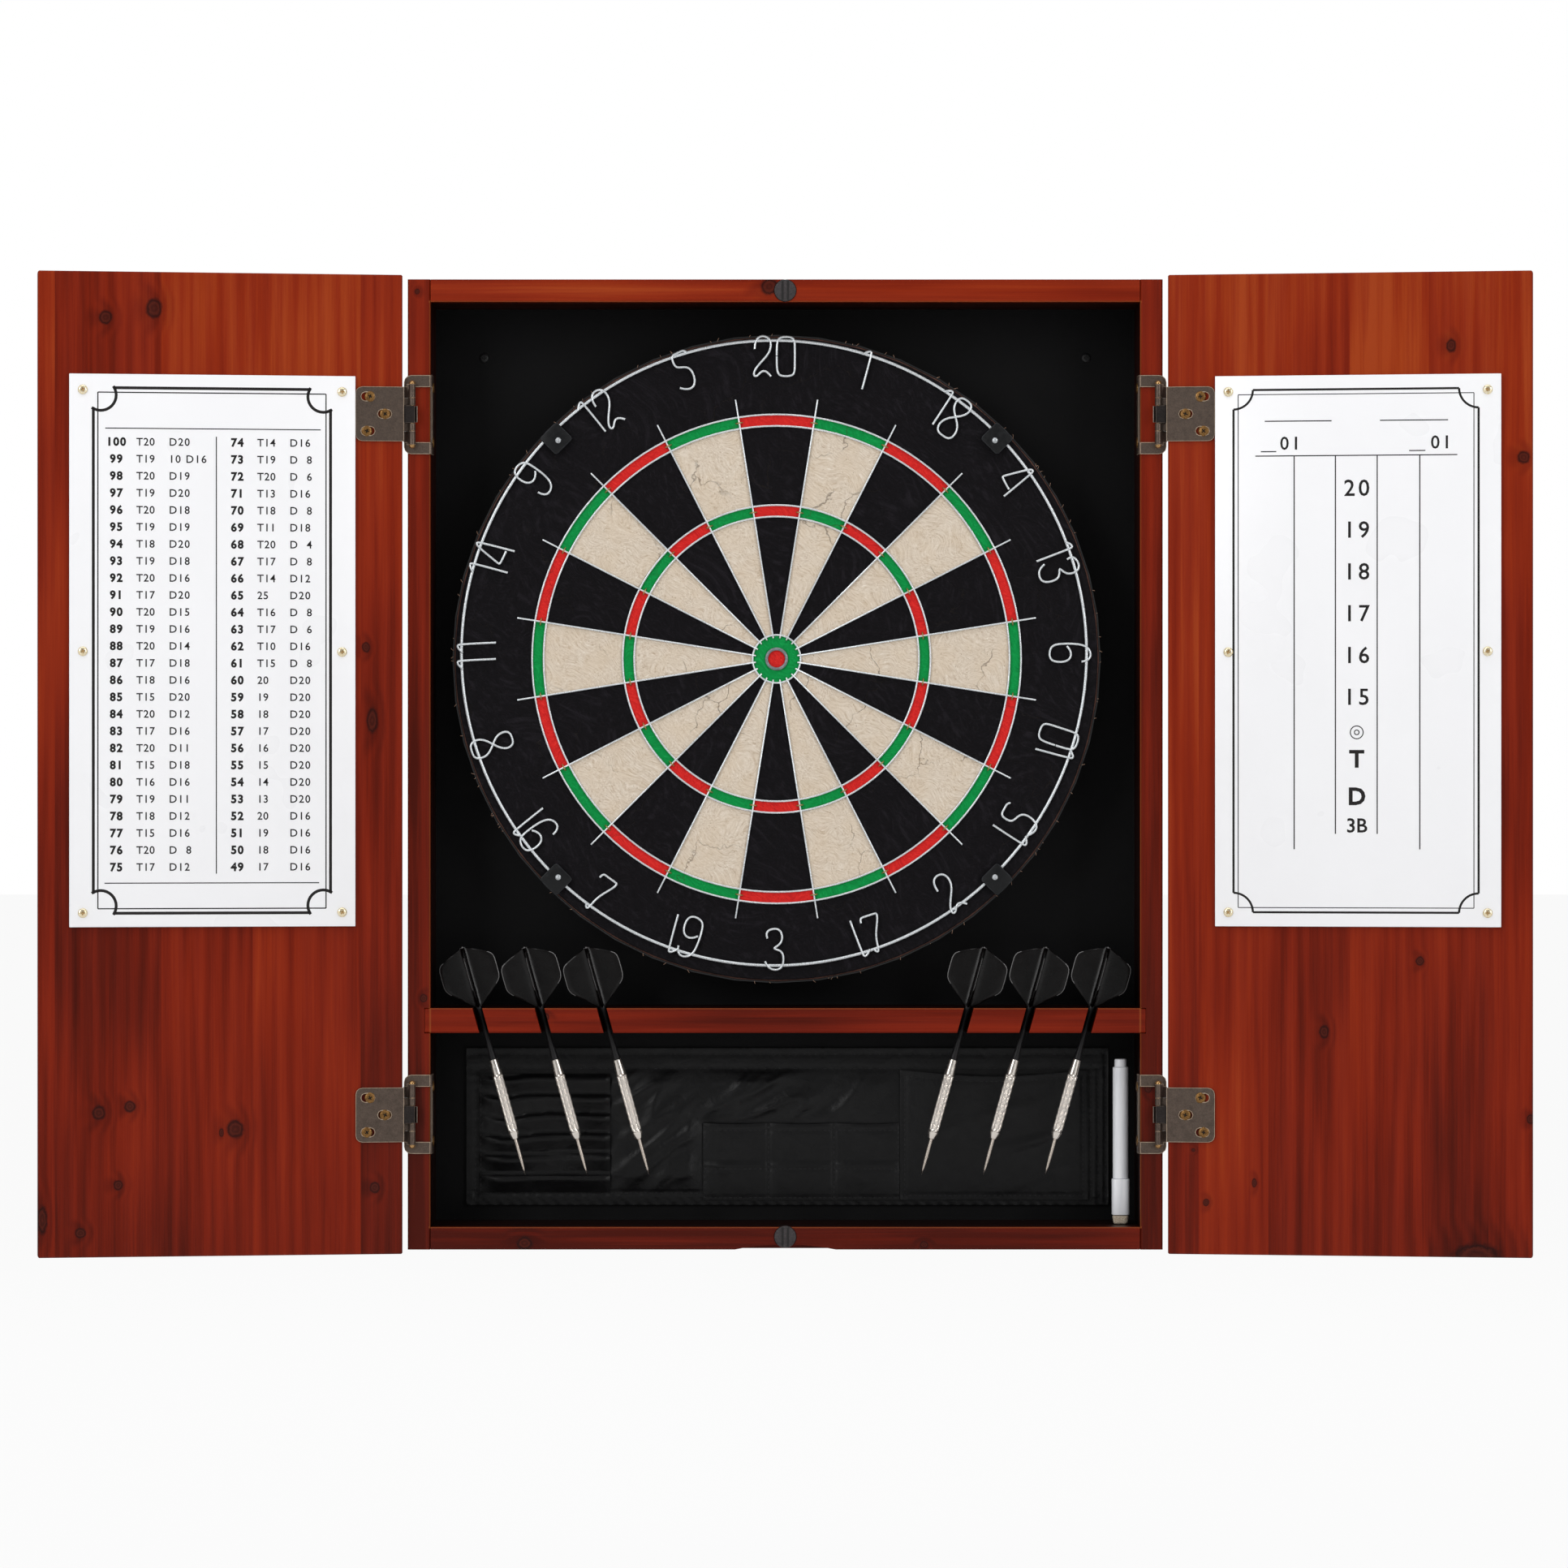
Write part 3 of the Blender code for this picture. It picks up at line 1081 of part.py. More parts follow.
def main():
    clear_scene()
    wood = make_material("stained_pine", (0.30, 0.055, 0.02), 0.38)
    black_sheet = make_material("black_hardboard", (0.006, 0.006, 0.007), 0.6)
    white_board = make_material("white_coated_board", (0.87, 0.87, 0.88), 0.3)
    bronze = make_material("antique_bronze", (0.20, 0.16, 0.13), 0.42, 1.0)
    brass = make_material("brass", (0.62, 0.42, 0.16), 0.3, 1.0)
    steel = make_material("zinc_steel", (0.45, 0.45, 0.46), 0.4, 1.0)
    magnet_grey = make_material("magnet_ferrite", (0.10, 0.10, 0.105), 0.6, 0.4)
    chipboard = make_material("chipboard", (0.40, 0.29, 0.17), 0.8)
    fibre = make_material("sisal_fibre", (0.05, 0.045, 0.05), 0.9)
    black_metal = make_material("black_steel_band", (0.02, 0.02, 0.022), 0.5, 0.6)
    wire_metal = make_material("galvanised_wire", (0.62, 0.66, 0.70), 0.3, 1.0)
    plastic = make_material("black_plastic", (0.012, 0.012, 0.014), 0.45)
    nickel = make_material("nickel_plate", (0.70, 0.67, 0.63), 0.25, 1.0)
    nylon = make_material("black_nylon", (0.012, 0.012, 0.013), 0.6)
    white_plastic = make_material("white_plastic", (0.85, 0.86, 0.90), 0.3)
    felt = make_material("cream_felt", (0.62, 0.55, 0.45), 0.95)

    build_side("left_side", -1, wood)
    build_side("right_side", 1, wood)
    build_cap_panel("top_panel", 1, wood)
    build_cap_panel("bottom_panel", -1, wood)
    build_magnet("upper_magnet", 1, magnet_grey)
    build_magnet("lower_magnet", -1, magnet_grey)
    build_divider(wood)
    build_back(black_sheet)
    build_doors(wood, white_board, bronze, brass, steel)

    board_axis = make_empty("dartboard_axis", BOARD_CENTRE)
    build_board(board_axis, chipboard, fibre, black_metal)
    build_spider(board_axis, wire_metal)
    build_number_ring(board_axis, wire_metal)
    build_clips(board_axis, plastic)
    build_hanger(board_axis, steel)
    build_darts(nickel, plastic)
    build_wallet(nylon)
    build_marker(white_plastic, felt)


main()
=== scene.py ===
import json
import math
import random
from functools import partial

import bmesh
import bpy
from mathutils import Matrix, Vector, noise


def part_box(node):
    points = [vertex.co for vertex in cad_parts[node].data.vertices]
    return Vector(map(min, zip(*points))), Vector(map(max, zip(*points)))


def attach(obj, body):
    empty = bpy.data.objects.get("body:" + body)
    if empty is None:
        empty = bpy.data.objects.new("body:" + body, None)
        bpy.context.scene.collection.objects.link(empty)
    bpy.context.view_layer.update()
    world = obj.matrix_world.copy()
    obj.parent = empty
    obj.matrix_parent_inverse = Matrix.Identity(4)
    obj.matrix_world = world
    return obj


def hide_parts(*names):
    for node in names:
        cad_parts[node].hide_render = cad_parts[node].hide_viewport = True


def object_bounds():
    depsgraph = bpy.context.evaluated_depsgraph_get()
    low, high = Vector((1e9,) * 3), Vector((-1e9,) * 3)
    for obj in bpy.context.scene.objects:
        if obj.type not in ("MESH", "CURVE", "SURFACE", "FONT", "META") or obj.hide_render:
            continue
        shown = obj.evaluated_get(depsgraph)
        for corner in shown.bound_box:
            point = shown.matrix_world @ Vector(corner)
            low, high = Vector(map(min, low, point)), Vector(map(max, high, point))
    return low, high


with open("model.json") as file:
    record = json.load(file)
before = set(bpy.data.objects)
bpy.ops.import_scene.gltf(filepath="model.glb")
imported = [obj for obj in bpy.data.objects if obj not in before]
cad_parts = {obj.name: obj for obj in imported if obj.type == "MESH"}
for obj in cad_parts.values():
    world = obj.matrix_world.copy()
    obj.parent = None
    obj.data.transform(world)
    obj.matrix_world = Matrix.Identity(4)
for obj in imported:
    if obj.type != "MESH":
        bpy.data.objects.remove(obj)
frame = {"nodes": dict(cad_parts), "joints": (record.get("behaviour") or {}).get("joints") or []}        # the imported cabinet: metres, wall at y = 0, front towards -Y
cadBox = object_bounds()
scene = bpy.context.scene
mm = 0.001
noise.seed_set(4)        # noise vectors take their offsets from this seed
joints = {joint["name"]: joint for joint in frame["joints"]}


# helpers: colours, nodes, pieces

def linear(hexText):
    parts = [int(hexText[i:i + 2], 16) / 255 for i in (1, 3, 5)]
    return [c / 12.92 if c <= 0.04045 else ((c + 0.055) / 1.055) ** 2.4 for c in parts] + [1.0]


# settings that many nodes share
eased = {"interpolation_type": "SMOOTHSTEP"}
straight = {"interpolation_type": "LINEAR"}
colours = {"out": 2, "data_type": "RGBA"}


def addNode(tree, kind, sockets=(), out=0, ramp=None, to=None, **settings):
    # adds one node, fills its sockets by place or by name, links its output on and hands it back
    new = tree.nodes.new("ShaderNode" + kind)
    for key, value in settings.items():
        setattr(new, key, value)
    if ramp:
        stops = new.color_ramp.elements
        stops[0].position, stops[0].color = ramp[0][0], linear(ramp[0][1])
        stops[1].position, stops[1].color = ramp[-1][0], linear(ramp[-1][1])
        for place, tone in ramp[1:-1]:
            stops.new(place).color = linear(tone)
    for key, value in sockets.items() if isinstance(sockets, dict) else enumerate(sockets):
        if isinstance(value, bpy.types.NodeSocket):
            tree.links.new(value, new.inputs[key])
        else:
            new.inputs[key].default_value = linear(value) if isinstance(value, str) else value
    if to is not None:
        tree.links.new(new.outputs[out], to)
    return new.outputs[out]


def newMaterial(name, colour, roughness, metallic=0.0, **more):
    # a Principled material, addNode bound to its tree, and the shader's sockets; more fills other
    # sockets, with _ for a space
    material = bpy.data.materials.new(name)
    material.use_nodes = True
    shader = material.node_tree.nodes["Principled BSDF"].inputs
    more = {"Base_Color": linear(colour), "Roughness": roughness, "Metallic": metallic, **more}
    for key, value in more.items():
        shader[key.replace("_", " ")].default_value = value
    return material, partial(addNode, material.node_tree), shader


def mottled(name, colour, metallic=0.0, size=1.0, spots=(), long=(1, 1, 1), tones=(), gloss=0.5,
            bright=0.7, blend=eased, relief=(), **more):
    # a finish that follows noise with spots of size mm: its tones, its gloss (one roughness, or the
    # pair that dark and bright spots have, the bright ones from the noise level bright up), and its
    # relief (size and depth in mm, strength, and a detail of its own if it needs one)
    matt = gloss if isinstance(gloss, float) else gloss[0]
    material, add, shader = newMaterial(name, colour, matt, metallic, **more)
    scale = [1 / stretch for stretch in long]
    place = add("Mapping", {"Vector": add("TexCoord", out=3), "Scale": scale})
    inputs = {"Vector": place, "Scale": 1 / (size * mm), **dict(spots)}
    mottle = add("TexNoise", inputs)
    if tones:
        add("ValToRGB", (mottle,), ramp=tones, to=shader["Base Color"])
    if not isinstance(gloss, float):
        add("MapRange", (mottle, 0.3, bright, *gloss), to=shader["Roughness"], **blend)
    if relief:
        bumpSize, depth, strength, *detail = relief
        inputs["Scale"] = 1 / (bumpSize * mm)
        inputs.update(zip(["Detail"], detail))
        height = add("TexNoise", inputs)
        add("Bump", {"Height": height, "Distance": depth * mm, "Strength": strength}, to=shader["Normal"])
    return material


def dress(nodeName, material):
    # gives a CAD node its finish
    for slot in frame["nodes"][nodeName].material_slots:
        slot.material = material


def makePiece(name, bm, materials, body, stands=(), smooth=35, matrix=None, flat=False):
    # finishes a bmesh as a piece that rides on a body; flat keeps broad faces from shading round
    if matrix:
        bm.transform(matrix)
    mesh = bpy.data.meshes.new(name)
    bm.to_mesh(mesh)
    bm.free()
    for material in materials if isinstance(materials, list) else [materials]:
        mesh.materials.append(material)
    piece = bpy.data.objects.new(name, mesh)
    scene.collection.objects.link(piece)
    mesh.shade_smooth()
    mesh.set_sharp_from_angle(angle=math.radians(smooth))
    if flat:
        piece.modifiers.new("broadFaces", "WEIGHTED_NORMAL").keep_sharp = True
    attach(piece, body)
    if stands:
        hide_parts(*stands)
    return piece


def turned(degrees, axis):
    return Matrix.Rotation(math.radians(degrees), 4, axis)


def spin(bm, geom, degrees, steps, merged):
    bmesh.ops.spin(
        bm, geom=geom, cent=(0, 0, 0), axis=(0, 0, 1), dvec=(0, 0, 0),
        angle=math.radians(degrees), steps=steps, use_merge=merged,
    )


def spun(profile, steps, axis="Z"):
    # turns a profile of (radius, height) points in mm about an axis
    bm = bmesh.new()
    verts = [bm.verts.new((radius * mm, 0, height * mm)) for radius, height in profile]
    edges = [bm.edges.new(pair) for pair in zip(verts, verts[1:])]
    spin(bm, verts + edges, 360, steps, True)
    bmesh.ops.remove_doubles(bm, verts=bm.verts, dist=1e-7)
    bmesh.ops.recalc_face_normals(bm, faces=bm.faces)
    if axis == "Y":
        bm.transform(turned(90, "X"))    # height now runs to -Y
    return bm


def addCopy(bm, source, matrix=Matrix(), last=False):
    # adds a moved copy of another bmesh, which is dropped if this is its last use
    mesh = bpy.data.meshes.new("copy")
    source.to_mesh(mesh)
    mesh.transform(matrix)
    bm.from_mesh(mesh)
    bpy.data.meshes.remove(mesh)
    if last:
        source.free()


def addHoop(bm, centre, radius, thick, sides, steps):
    # a closed hoop of round wire that faces the front
    hoop = bmesh.new()
    place = Matrix.Translation((radius, 0, 0)) @ turned(90, "X")
    bmesh.ops.create_circle(hoop, segments=sides, radius=thick, matrix=place)
    spin(hoop, hoop.edges[:], 360, steps, True)
    bmesh.ops.recalc_face_normals(hoop, faces=hoop.faces)
    addCopy(bm, hoop, Matrix.Translation(centre) @ turned(90, "X"), last=True)


def wires(strokes, radius, sides=2, smoothness=4, closed=False, kind="NURBS"):
    # bent round wire along each stroke, as one bmesh
    curve = bpy.data.curves.new("wire", "CURVE")
    curve.dimensions = "3D"
    curve.bevel_depth = radius
    curve.bevel_resolution = sides
    curve.resolution_u = smoothness
    curve.use_fill_caps = True
    for stroke in strokes:
        spline = curve.splines.new(kind)
        spline.points.add(len(stroke) - 1)
        for point, place in zip(spline.points, stroke):
            point.co = (*place, 1.0)
        spline.use_cyclic_u = closed
        if kind == "NURBS":
            spline.use_endpoint_u = not closed
            spline.order_u = min(4, len(stroke))
    return bmeshOf(bpy.data.objects.new("wire", curve))


def bmeshOf(holder):
    # the mesh of a curve or text object, which is then removed
    scene.collection.objects.link(holder)
    shape = holder.evaluated_get(bpy.context.evaluated_depsgraph_get())
    mesh = bpy.data.meshes.new_from_object(shape)
    bm = bmesh.new()
    bm.from_mesh(mesh)
    data = holder.data
    bpy.data.objects.remove(holder)
    bpy.data.curves.remove(data)
    bpy.data.meshes.remove(mesh)
    bmesh.ops.remove_doubles(bm, verts=bm.verts, dist=1e-6)
    return bm


def addBar(bm, low, high):
    # a box between two corners given in mm
    low, high = Vector(low) * mm, Vector(high) * mm
    matrix = Matrix.Translation((low + high) / 2) @ Matrix.Diagonal((*(high - low), 1.0))
    return bmesh.ops.create_cube(bm, size=1.0, matrix=matrix)["verts"]


def cadCopy(nodeName):
    # merged copy of a CAD node, with flat faces whole again
    bm = bmesh.new()
    bm.from_mesh(frame["nodes"][nodeName].data)
    bmesh.ops.remove_doubles(bm, verts=bm.verts, dist=2e-6)
    bmesh.ops.dissolve_limit(bm, angle_limit=math.radians(1), verts=bm.verts, edges=bm.edges)
    return bm


def softenEdges(bm, width, segments=2, worn=False):
    # bevels the sharp edges; worn gives the new faces the piece's second material
    sharp = math.radians(40)
    edges = [edge for edge in bm.edges if len(edge.link_faces) == 2 and edge.calc_face_angle(0) > sharp]
    made = bmesh.ops.bevel(
        bm, geom=edges, offset=width, offset_type="OFFSET", affect="EDGES", segments=segments,
        profile=0.5, material=-1, clamp_overlap=True,
    )
    for face in made["faces"] if worn else ():
        face.material_index = 1


def doorPlace(side):
    # where the left (-1) or right (1) door's hinge pins stand, and how far that door is turned
    joint = joints["left_door_hinge" if side < 0 else "right_door_hinge"]
    return joint["pos_m"], -side * joint["range_deg"][0]


def doorMatrix(side):
    place, turn = doorPlace(side)
    return Matrix.Translation(place) @ turned(turn, "Z")


def middleOf(nodeName):
    low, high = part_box(nodeName)
    return (low + high) / 2


# carcass and doors: pine boards glued edge to edge, stained mahogany red under satin lacquer

carcass = {
    "inside": 245.5 * mm,      # half the clear width
    "front": -76 * mm,
    "roof": 319.95 * mm,       # top of the clear opening
    "shelf": -168.65 * mm,     # top of the dividing shelf
    "tones": [(0.22, "#460e03"), (0.40, "#661705"), (0.52, "#791e07"), (0.66, "#882709"), (0.84, "#9a3b12")],
    "knot": [(0.0, "#4a1a10"), (0.35, "#351009"), (0.62, "#4b1a10"), (0.88, "#1c0705"), (1.0, "#2a0b07")],
    "ring": 9 * mm,            # width of a year's growth
    # noises in the grain: size in mm, detail, roughness, times longer along the grain, share of the tone
    "grain": {
        "fine": (1.1, 2.0, 0.5, 60, 0.20), "streak": (9, 3.0, 0.55, 28, 0.45),
        "cloud": (70, 2.0, 0.5, 3, 0.52), "sway": (45, 1.0, 0.5, 5, 0.0),
    },
    "perBoard": 0.14,          # share of the tone that changes from board to board
}


def stainedPine(name, place=(0, 0, 0), turn=(0, 0, 0), seams=(), knots=(), seed=0.0, toneAndShade=0.0,
                interior=False):
    # Flat-sawn pine: long faint streaks, arched growth rings, round dark knots, brown-red stain.
    # Pattern axes are x across the boards, y through them and z along the grain.
    material, add, shader = newMaterial(name, "#832613", 0.4, Specular_IOR_Level=0.13)
    world = add("TexCoord", out=3)
    local = add("Mapping", {"Vector": world, "Location": place, "Rotation": turn}, vector_type="TEXTURE")
    across = add("SeparateXYZ", (local,))
    index = seed
    for seam in seams:
        beyond = add("Math", (across, seam * mm), operation="GREATER_THAN")
        index = add("Math", (beyond, index))
    inputs = {0: (0.731, 0.377, 1.913), "Scale": index}
    board = add("VectorMath", (local, add("VectorMath", inputs, operation="SCALE")))

    # knots: distance in knot radii to the nearest one
    nearest = 9.0
    # a knot runs through a door, and shows only on the front edge of a thicker board
    depth, through = (carcass["front"], 3 * mm) if interior else (0.0, 1.0)
    for x, z, wide, tall in knots:
        size = (wide * mm, through, tall * mm)
        inputs = {"Vector": local, "Location": (x * mm, depth, z * mm), "Scale": size}
        ball = add("Mapping", inputs, vector_type="TEXTURE")
        away = add("VectorMath", (ball,), out=1, operation="LENGTH")
        nearest = add("Math", (away, nearest), operation="MINIMUM")
    ragged = add("TexNoise", {"Vector": board, "Scale": 1 / (3 * mm)})
    ragged = add("MapRange", (ragged, 0.0, 1.0, -0.25, 0.25))
    nearest = add("Math", (nearest, ragged))
    halo = add("MapRange", (nearest, 0.8, 3.8, 1.0, 0.0), **eased)

    grain = {}
    for part, (size, detail, rough, long, share) in carcass["grain"].items():
        drawn = add("Mapping", {"Vector": board, "Scale": (1, 1, 1 / long)})
        inputs = {"Vector": drawn, "Scale": 1 / (size * mm), "Detail": detail, "Roughness": rough}
        grain[part] = add("TexNoise", inputs)

    # growth rings about a pith that tilts away from the face, so they rise in arches
    cone = add("Mapping", {"Vector": board, "Rotation": (math.radians(2.6), 0, 0), "Scale": (1, 1, 0)})
    radius = add("VectorMath", (cone,), out=1, operation="LENGTH")
    phase = 0.0
    for part, share in ((radius, math.tau / carcass["ring"]), (grain["sway"], 9.0), (halo, 5.0)):
        phase = add("Math", (part, share, phase), operation="MULTIPLY_ADD")
    rings = add("Math", (phase,), operation="SINE")

    perBoard = add("TexWhiteNoise", {"W": index}, noise_dimensions="1D")
    parts = [(grain[part], values[-1]) for part, values in carcass["grain"].items()]
    parts.append((perBoard, carcass["perBoard"]))
    tone = 0.55 - sum(share for part, share in parts) / 2
    for part, share in (*parts, (rings, 0.04)):
        tone = add("Math", (part, share, tone), operation="MULTIPLY_ADD")
    sideways, depth, height = add("SeparateXYZ", (world,)).node.outputs
    # painted light: the tone rises towards the top of the cabinet and falls towards the bottom, as light
    # falls from above; each material's own tone shift rides on it
    lift = add("MapRange", (height, -0.36, 0.36, toneAndShade - 0.17, toneAndShade + 0.09), **eased)
    colour = add("ValToRGB", (add("Math", (tone, lift)),), ramp=carcass["tones"])
    shade = add("Math", (halo, 0.24), operation="MULTIPLY")
    colour = add("Mix", {0: shade, 6: colour, 7: "#4a130b"}, blend_type="MULTIPLY", **colours)
    heart = add("ValToRGB", (nearest,), ramp=carcass["knot"])
    inside = add("MapRange", (nearest, 0.85, 1.35, 0.9, 0.0), **eased)
    colour = add("Mix", {0: inside, 6: colour, 7: heart}, **colours)
    if interior:
        # painted shade: the inside faces turn near black from just behind the front edge inward, where the
        # bays lie in shade
        sideways = add("Math", (sideways,), operation="ABSOLUTE")
        upright = add("Math", (height,), operation="ABSOLUTE")
        deep = add("MapRange", (depth, -75.2 * mm, -62 * mm, 0.0, 0.93), **eased)
        for along, edge in ((sideways, "inside"), (upright, "roof")):
            within = add("Math", (along, carcass[edge] + 0.2 * mm), operation="LESS_THAN")
            deep = add("Math", (deep, within), operation="MULTIPLY")
        colour = add("Mix", {0: deep, 6: colour, 7: "#0c0403"}, **colours)
        # the arrises that frame the two bays are coloured lighter: stain worn thin, and a painted highlight
        # where the edge catches the light
        front = add("Math", (depth, -74.6 * mm), operation="LESS_THAN")
        for along, edge, across, reach in (
            (sideways, "inside", upright, "roof"), (upright, "roof", sideways, "inside"),
            (height, "shelf", sideways, "inside"),
        ):
            away = add("Math", (along, carcass[edge]), operation="SUBTRACT")
            away = add("Math", (away,), operation="ABSOLUTE")
            wornArrisAndHighlight = add("MapRange", (away, 0.25 * mm, 0.9 * mm, 0.42, 0.0), **eased)
            within = add("Math", (across, carcass[reach] + 1 * mm), operation="LESS_THAN")
            for limit in (within, front):
                wornArrisAndHighlight = add("Math", (wornArrisAndHighlight, limit), operation="MULTIPLY")
            colour = add("Mix", {0: wornArrisAndHighlight, 6: colour, 7: "#9c5528"}, **colours)
    material.node_tree.links.new(colour, shader["Base Color"])
    add("MapRange", (grain["streak"], 0.3, 0.8, 0.30, 0.46), to=shader["Roughness"], **eased)
    relief = add("Math", (grain["streak"], 0.4), operation="MULTIPLY")
    relief = add("Math", (grain["fine"], 0.6, relief), operation="MULTIPLY_ADD")
    add("Bump", {"Height": relief, "Distance": 0.06 * mm}, to=shader["Normal"])
    return material


# glue lines, and knots as across, up, half width and half height, all in mm; on a door they are
# measured from its hinge pin
for nodeNames, look in (
    (("left_door",), {
        "name": "stainedPineLeftDoor", "seed": 1.0, "seams": (35.7, 110, 172.6, 245.2),
        "knots": [
            (210.8, 306.3, 4.2, 4.4), (177.6, 312.8, 5.0, 6.2), (215.2, -238.8, 4.4, 4.6),
            (194.1, -234.6, 3.8, 3.6), (202.1, -288.5, 3.0, 3.2), (122.0, -250.9, 5.4, 5.8),
            (131.5, -253.0, 1.5, 2.6), (227.8, -321.1, 3.6, 3.2), (253.8, -311.9, 3.2, 9.0),
            (27.8, 30.3, 3.6, 8.0), (32.0, 80.8, 2.6, 3.4), (26.0, -292.0, 3.2, 3.6),
        ],
    }),
    (("right_door",), {
        "name": "stainedPineRightDoor", "seed": 11.0, "toneAndShade": 0.05, "seams": (-226.8, -186, -132, -76, -28),
        "knots": [
            (-201.3, 287.1, 3.2, 4.2), (-250.7, 210.1, 4.0, 4.0), (-114.4, -184.0, 3.0, 4.2),
            (-180.0, -135.0, 2.6, 2.8), (-66.4, -288.4, 1.6, 3.0), (-33.2, -302.0, 2.0, 2.4),
            (-218.9, -337.0, 15.0, 8.0), (-255.3, -242.9, 2.4, 3.0), (-24.4, -266.0, 1.2, 1.2),
        ],
    }),
    (("left_side", "right_side"), {
        # the sides take a lower tone: painted shade, as they are lit less than the doors
        "name": "stainedPineSides", "seams": (0,), "seed": 21.0, "toneAndShade": -0.13, "interior": True,
        "knots": [(-250.0, -161.7, 2.5, 2.6), (-254.5, 327.0, 1.6, 1.8), (251.0, -224.0, 2.4, 2.8)],
    }),
    (("top_panel", "bottom_panel", "divider_shelf"), {
        "name": "stainedPineRails", "turn": (0, math.radians(90), 0), "seams": (0, 200), "seed": 31.0,
        "toneAndShade": -0.03, "interior": True,
        "knots": [
            (-330.5, -10.9, 5.2, 5.6), (174.6, -165.8, 2.4, 2.4), (331.0, -180.2, 4.2, 5.0),
            (332.0, 96.0, 2.2, 2.6),
        ],
    }),
):
    if "_door" in nodeNames[0]:
        look["place"], turn = doorPlace(-1 if nodeNames[0] == "left_door" else 1)
        look["turn"] = (0, 0, math.radians(turn))
    pine = stainedPine(**look)
    for nodeName in nodeNames:
        dress(nodeName, pine)
print("wood dressed")


# back sheet: hardboard, painted satin black on its face

def blackHardboard():
    # Pressed wood fibre under thin satin black paint: nearly black, faint mottled sheen.
    # The wire screen that it was pressed on leaves its mesh in the unseen back.
    material, add, shader = newMaterial("blackHardboard", "#08080a", 0.6, Specular_IOR_Level=0.12)
    point = add("TexCoord", out=3)
    mottle = add("TexNoise", {"Vector": point, "Scale": 1 / (40 * mm), "Detail": 3.0})
    press = add("TexNoise", {"Vector": point, "Scale": 1 / (1.4 * mm)})
    black = add("ValToRGB", (mottle,), ramp=[(0.3, "#060607"), (0.7, "#0b0b0c")])
    brown = add("ValToRGB", (mottle,), ramp=[(0.3, "#1d150f"), (0.7, "#2a1f16")])
    across, depth, height = add("SeparateXYZ", (point,)).node.outputs
    rear = add("Math", (depth, -1.0 * mm), operation="GREATER_THAN")
    mesh = rear
    for along in (across, height):
        thread = add("Math", (along, math.tau / (2.4 * mm)), operation="MULTIPLY")
        thread = add("Math", (thread,), operation="SINE")
        mesh = add("Math", (mesh, thread), operation="MULTIPLY")
    add("Mix", {0: rear, 6: black, 7: brown}, to=shader["Base Color"], **colours)
    add("MapRange", (mottle, 0.3, 0.7, 0.5, 0.62), to=shader["Roughness"], **eased)
    relief = add("Math", (mesh, 3.0, press), operation="MULTIPLY_ADD")
    add("Bump", {"Height": relief, "Distance": 0.04 * mm}, to=shader["Normal"])
    return material


dress("back_panel", blackHardboard())


# studio: white surround, pale floor, two wide soft boxes in front, one above and one behind

studio = {
    "camera": (-0.84 * mm, -4.274, -13.5 * mm),
    "lens": 139.4,
    "floorDrop": 0.30,         # floor below the doors
    "floorSize": 30.0,
    "ambient": 0.40,
    "mirrored": 0.27,          # brightness of the surround in metal
    "floorGlow": 0.92,         # share of the floor that the camera sees as plain white
    "lamps": {                 # place, size and power
        "softBoxLeft": ((-2.6, -3.4, 1.5), (1.6, 2.4), 60),
        "softBoxRight": ((2.8, -3.2, 1.1), (1.6, 2.4), 46),
        "softBoxTop": ((0.0, -1.4, 2.8), (3.0, 1.4), 26),
        "softBoxBehind": ((0.0, 3.0, 1.6), (2.4, 1.6), 16),
    },
}


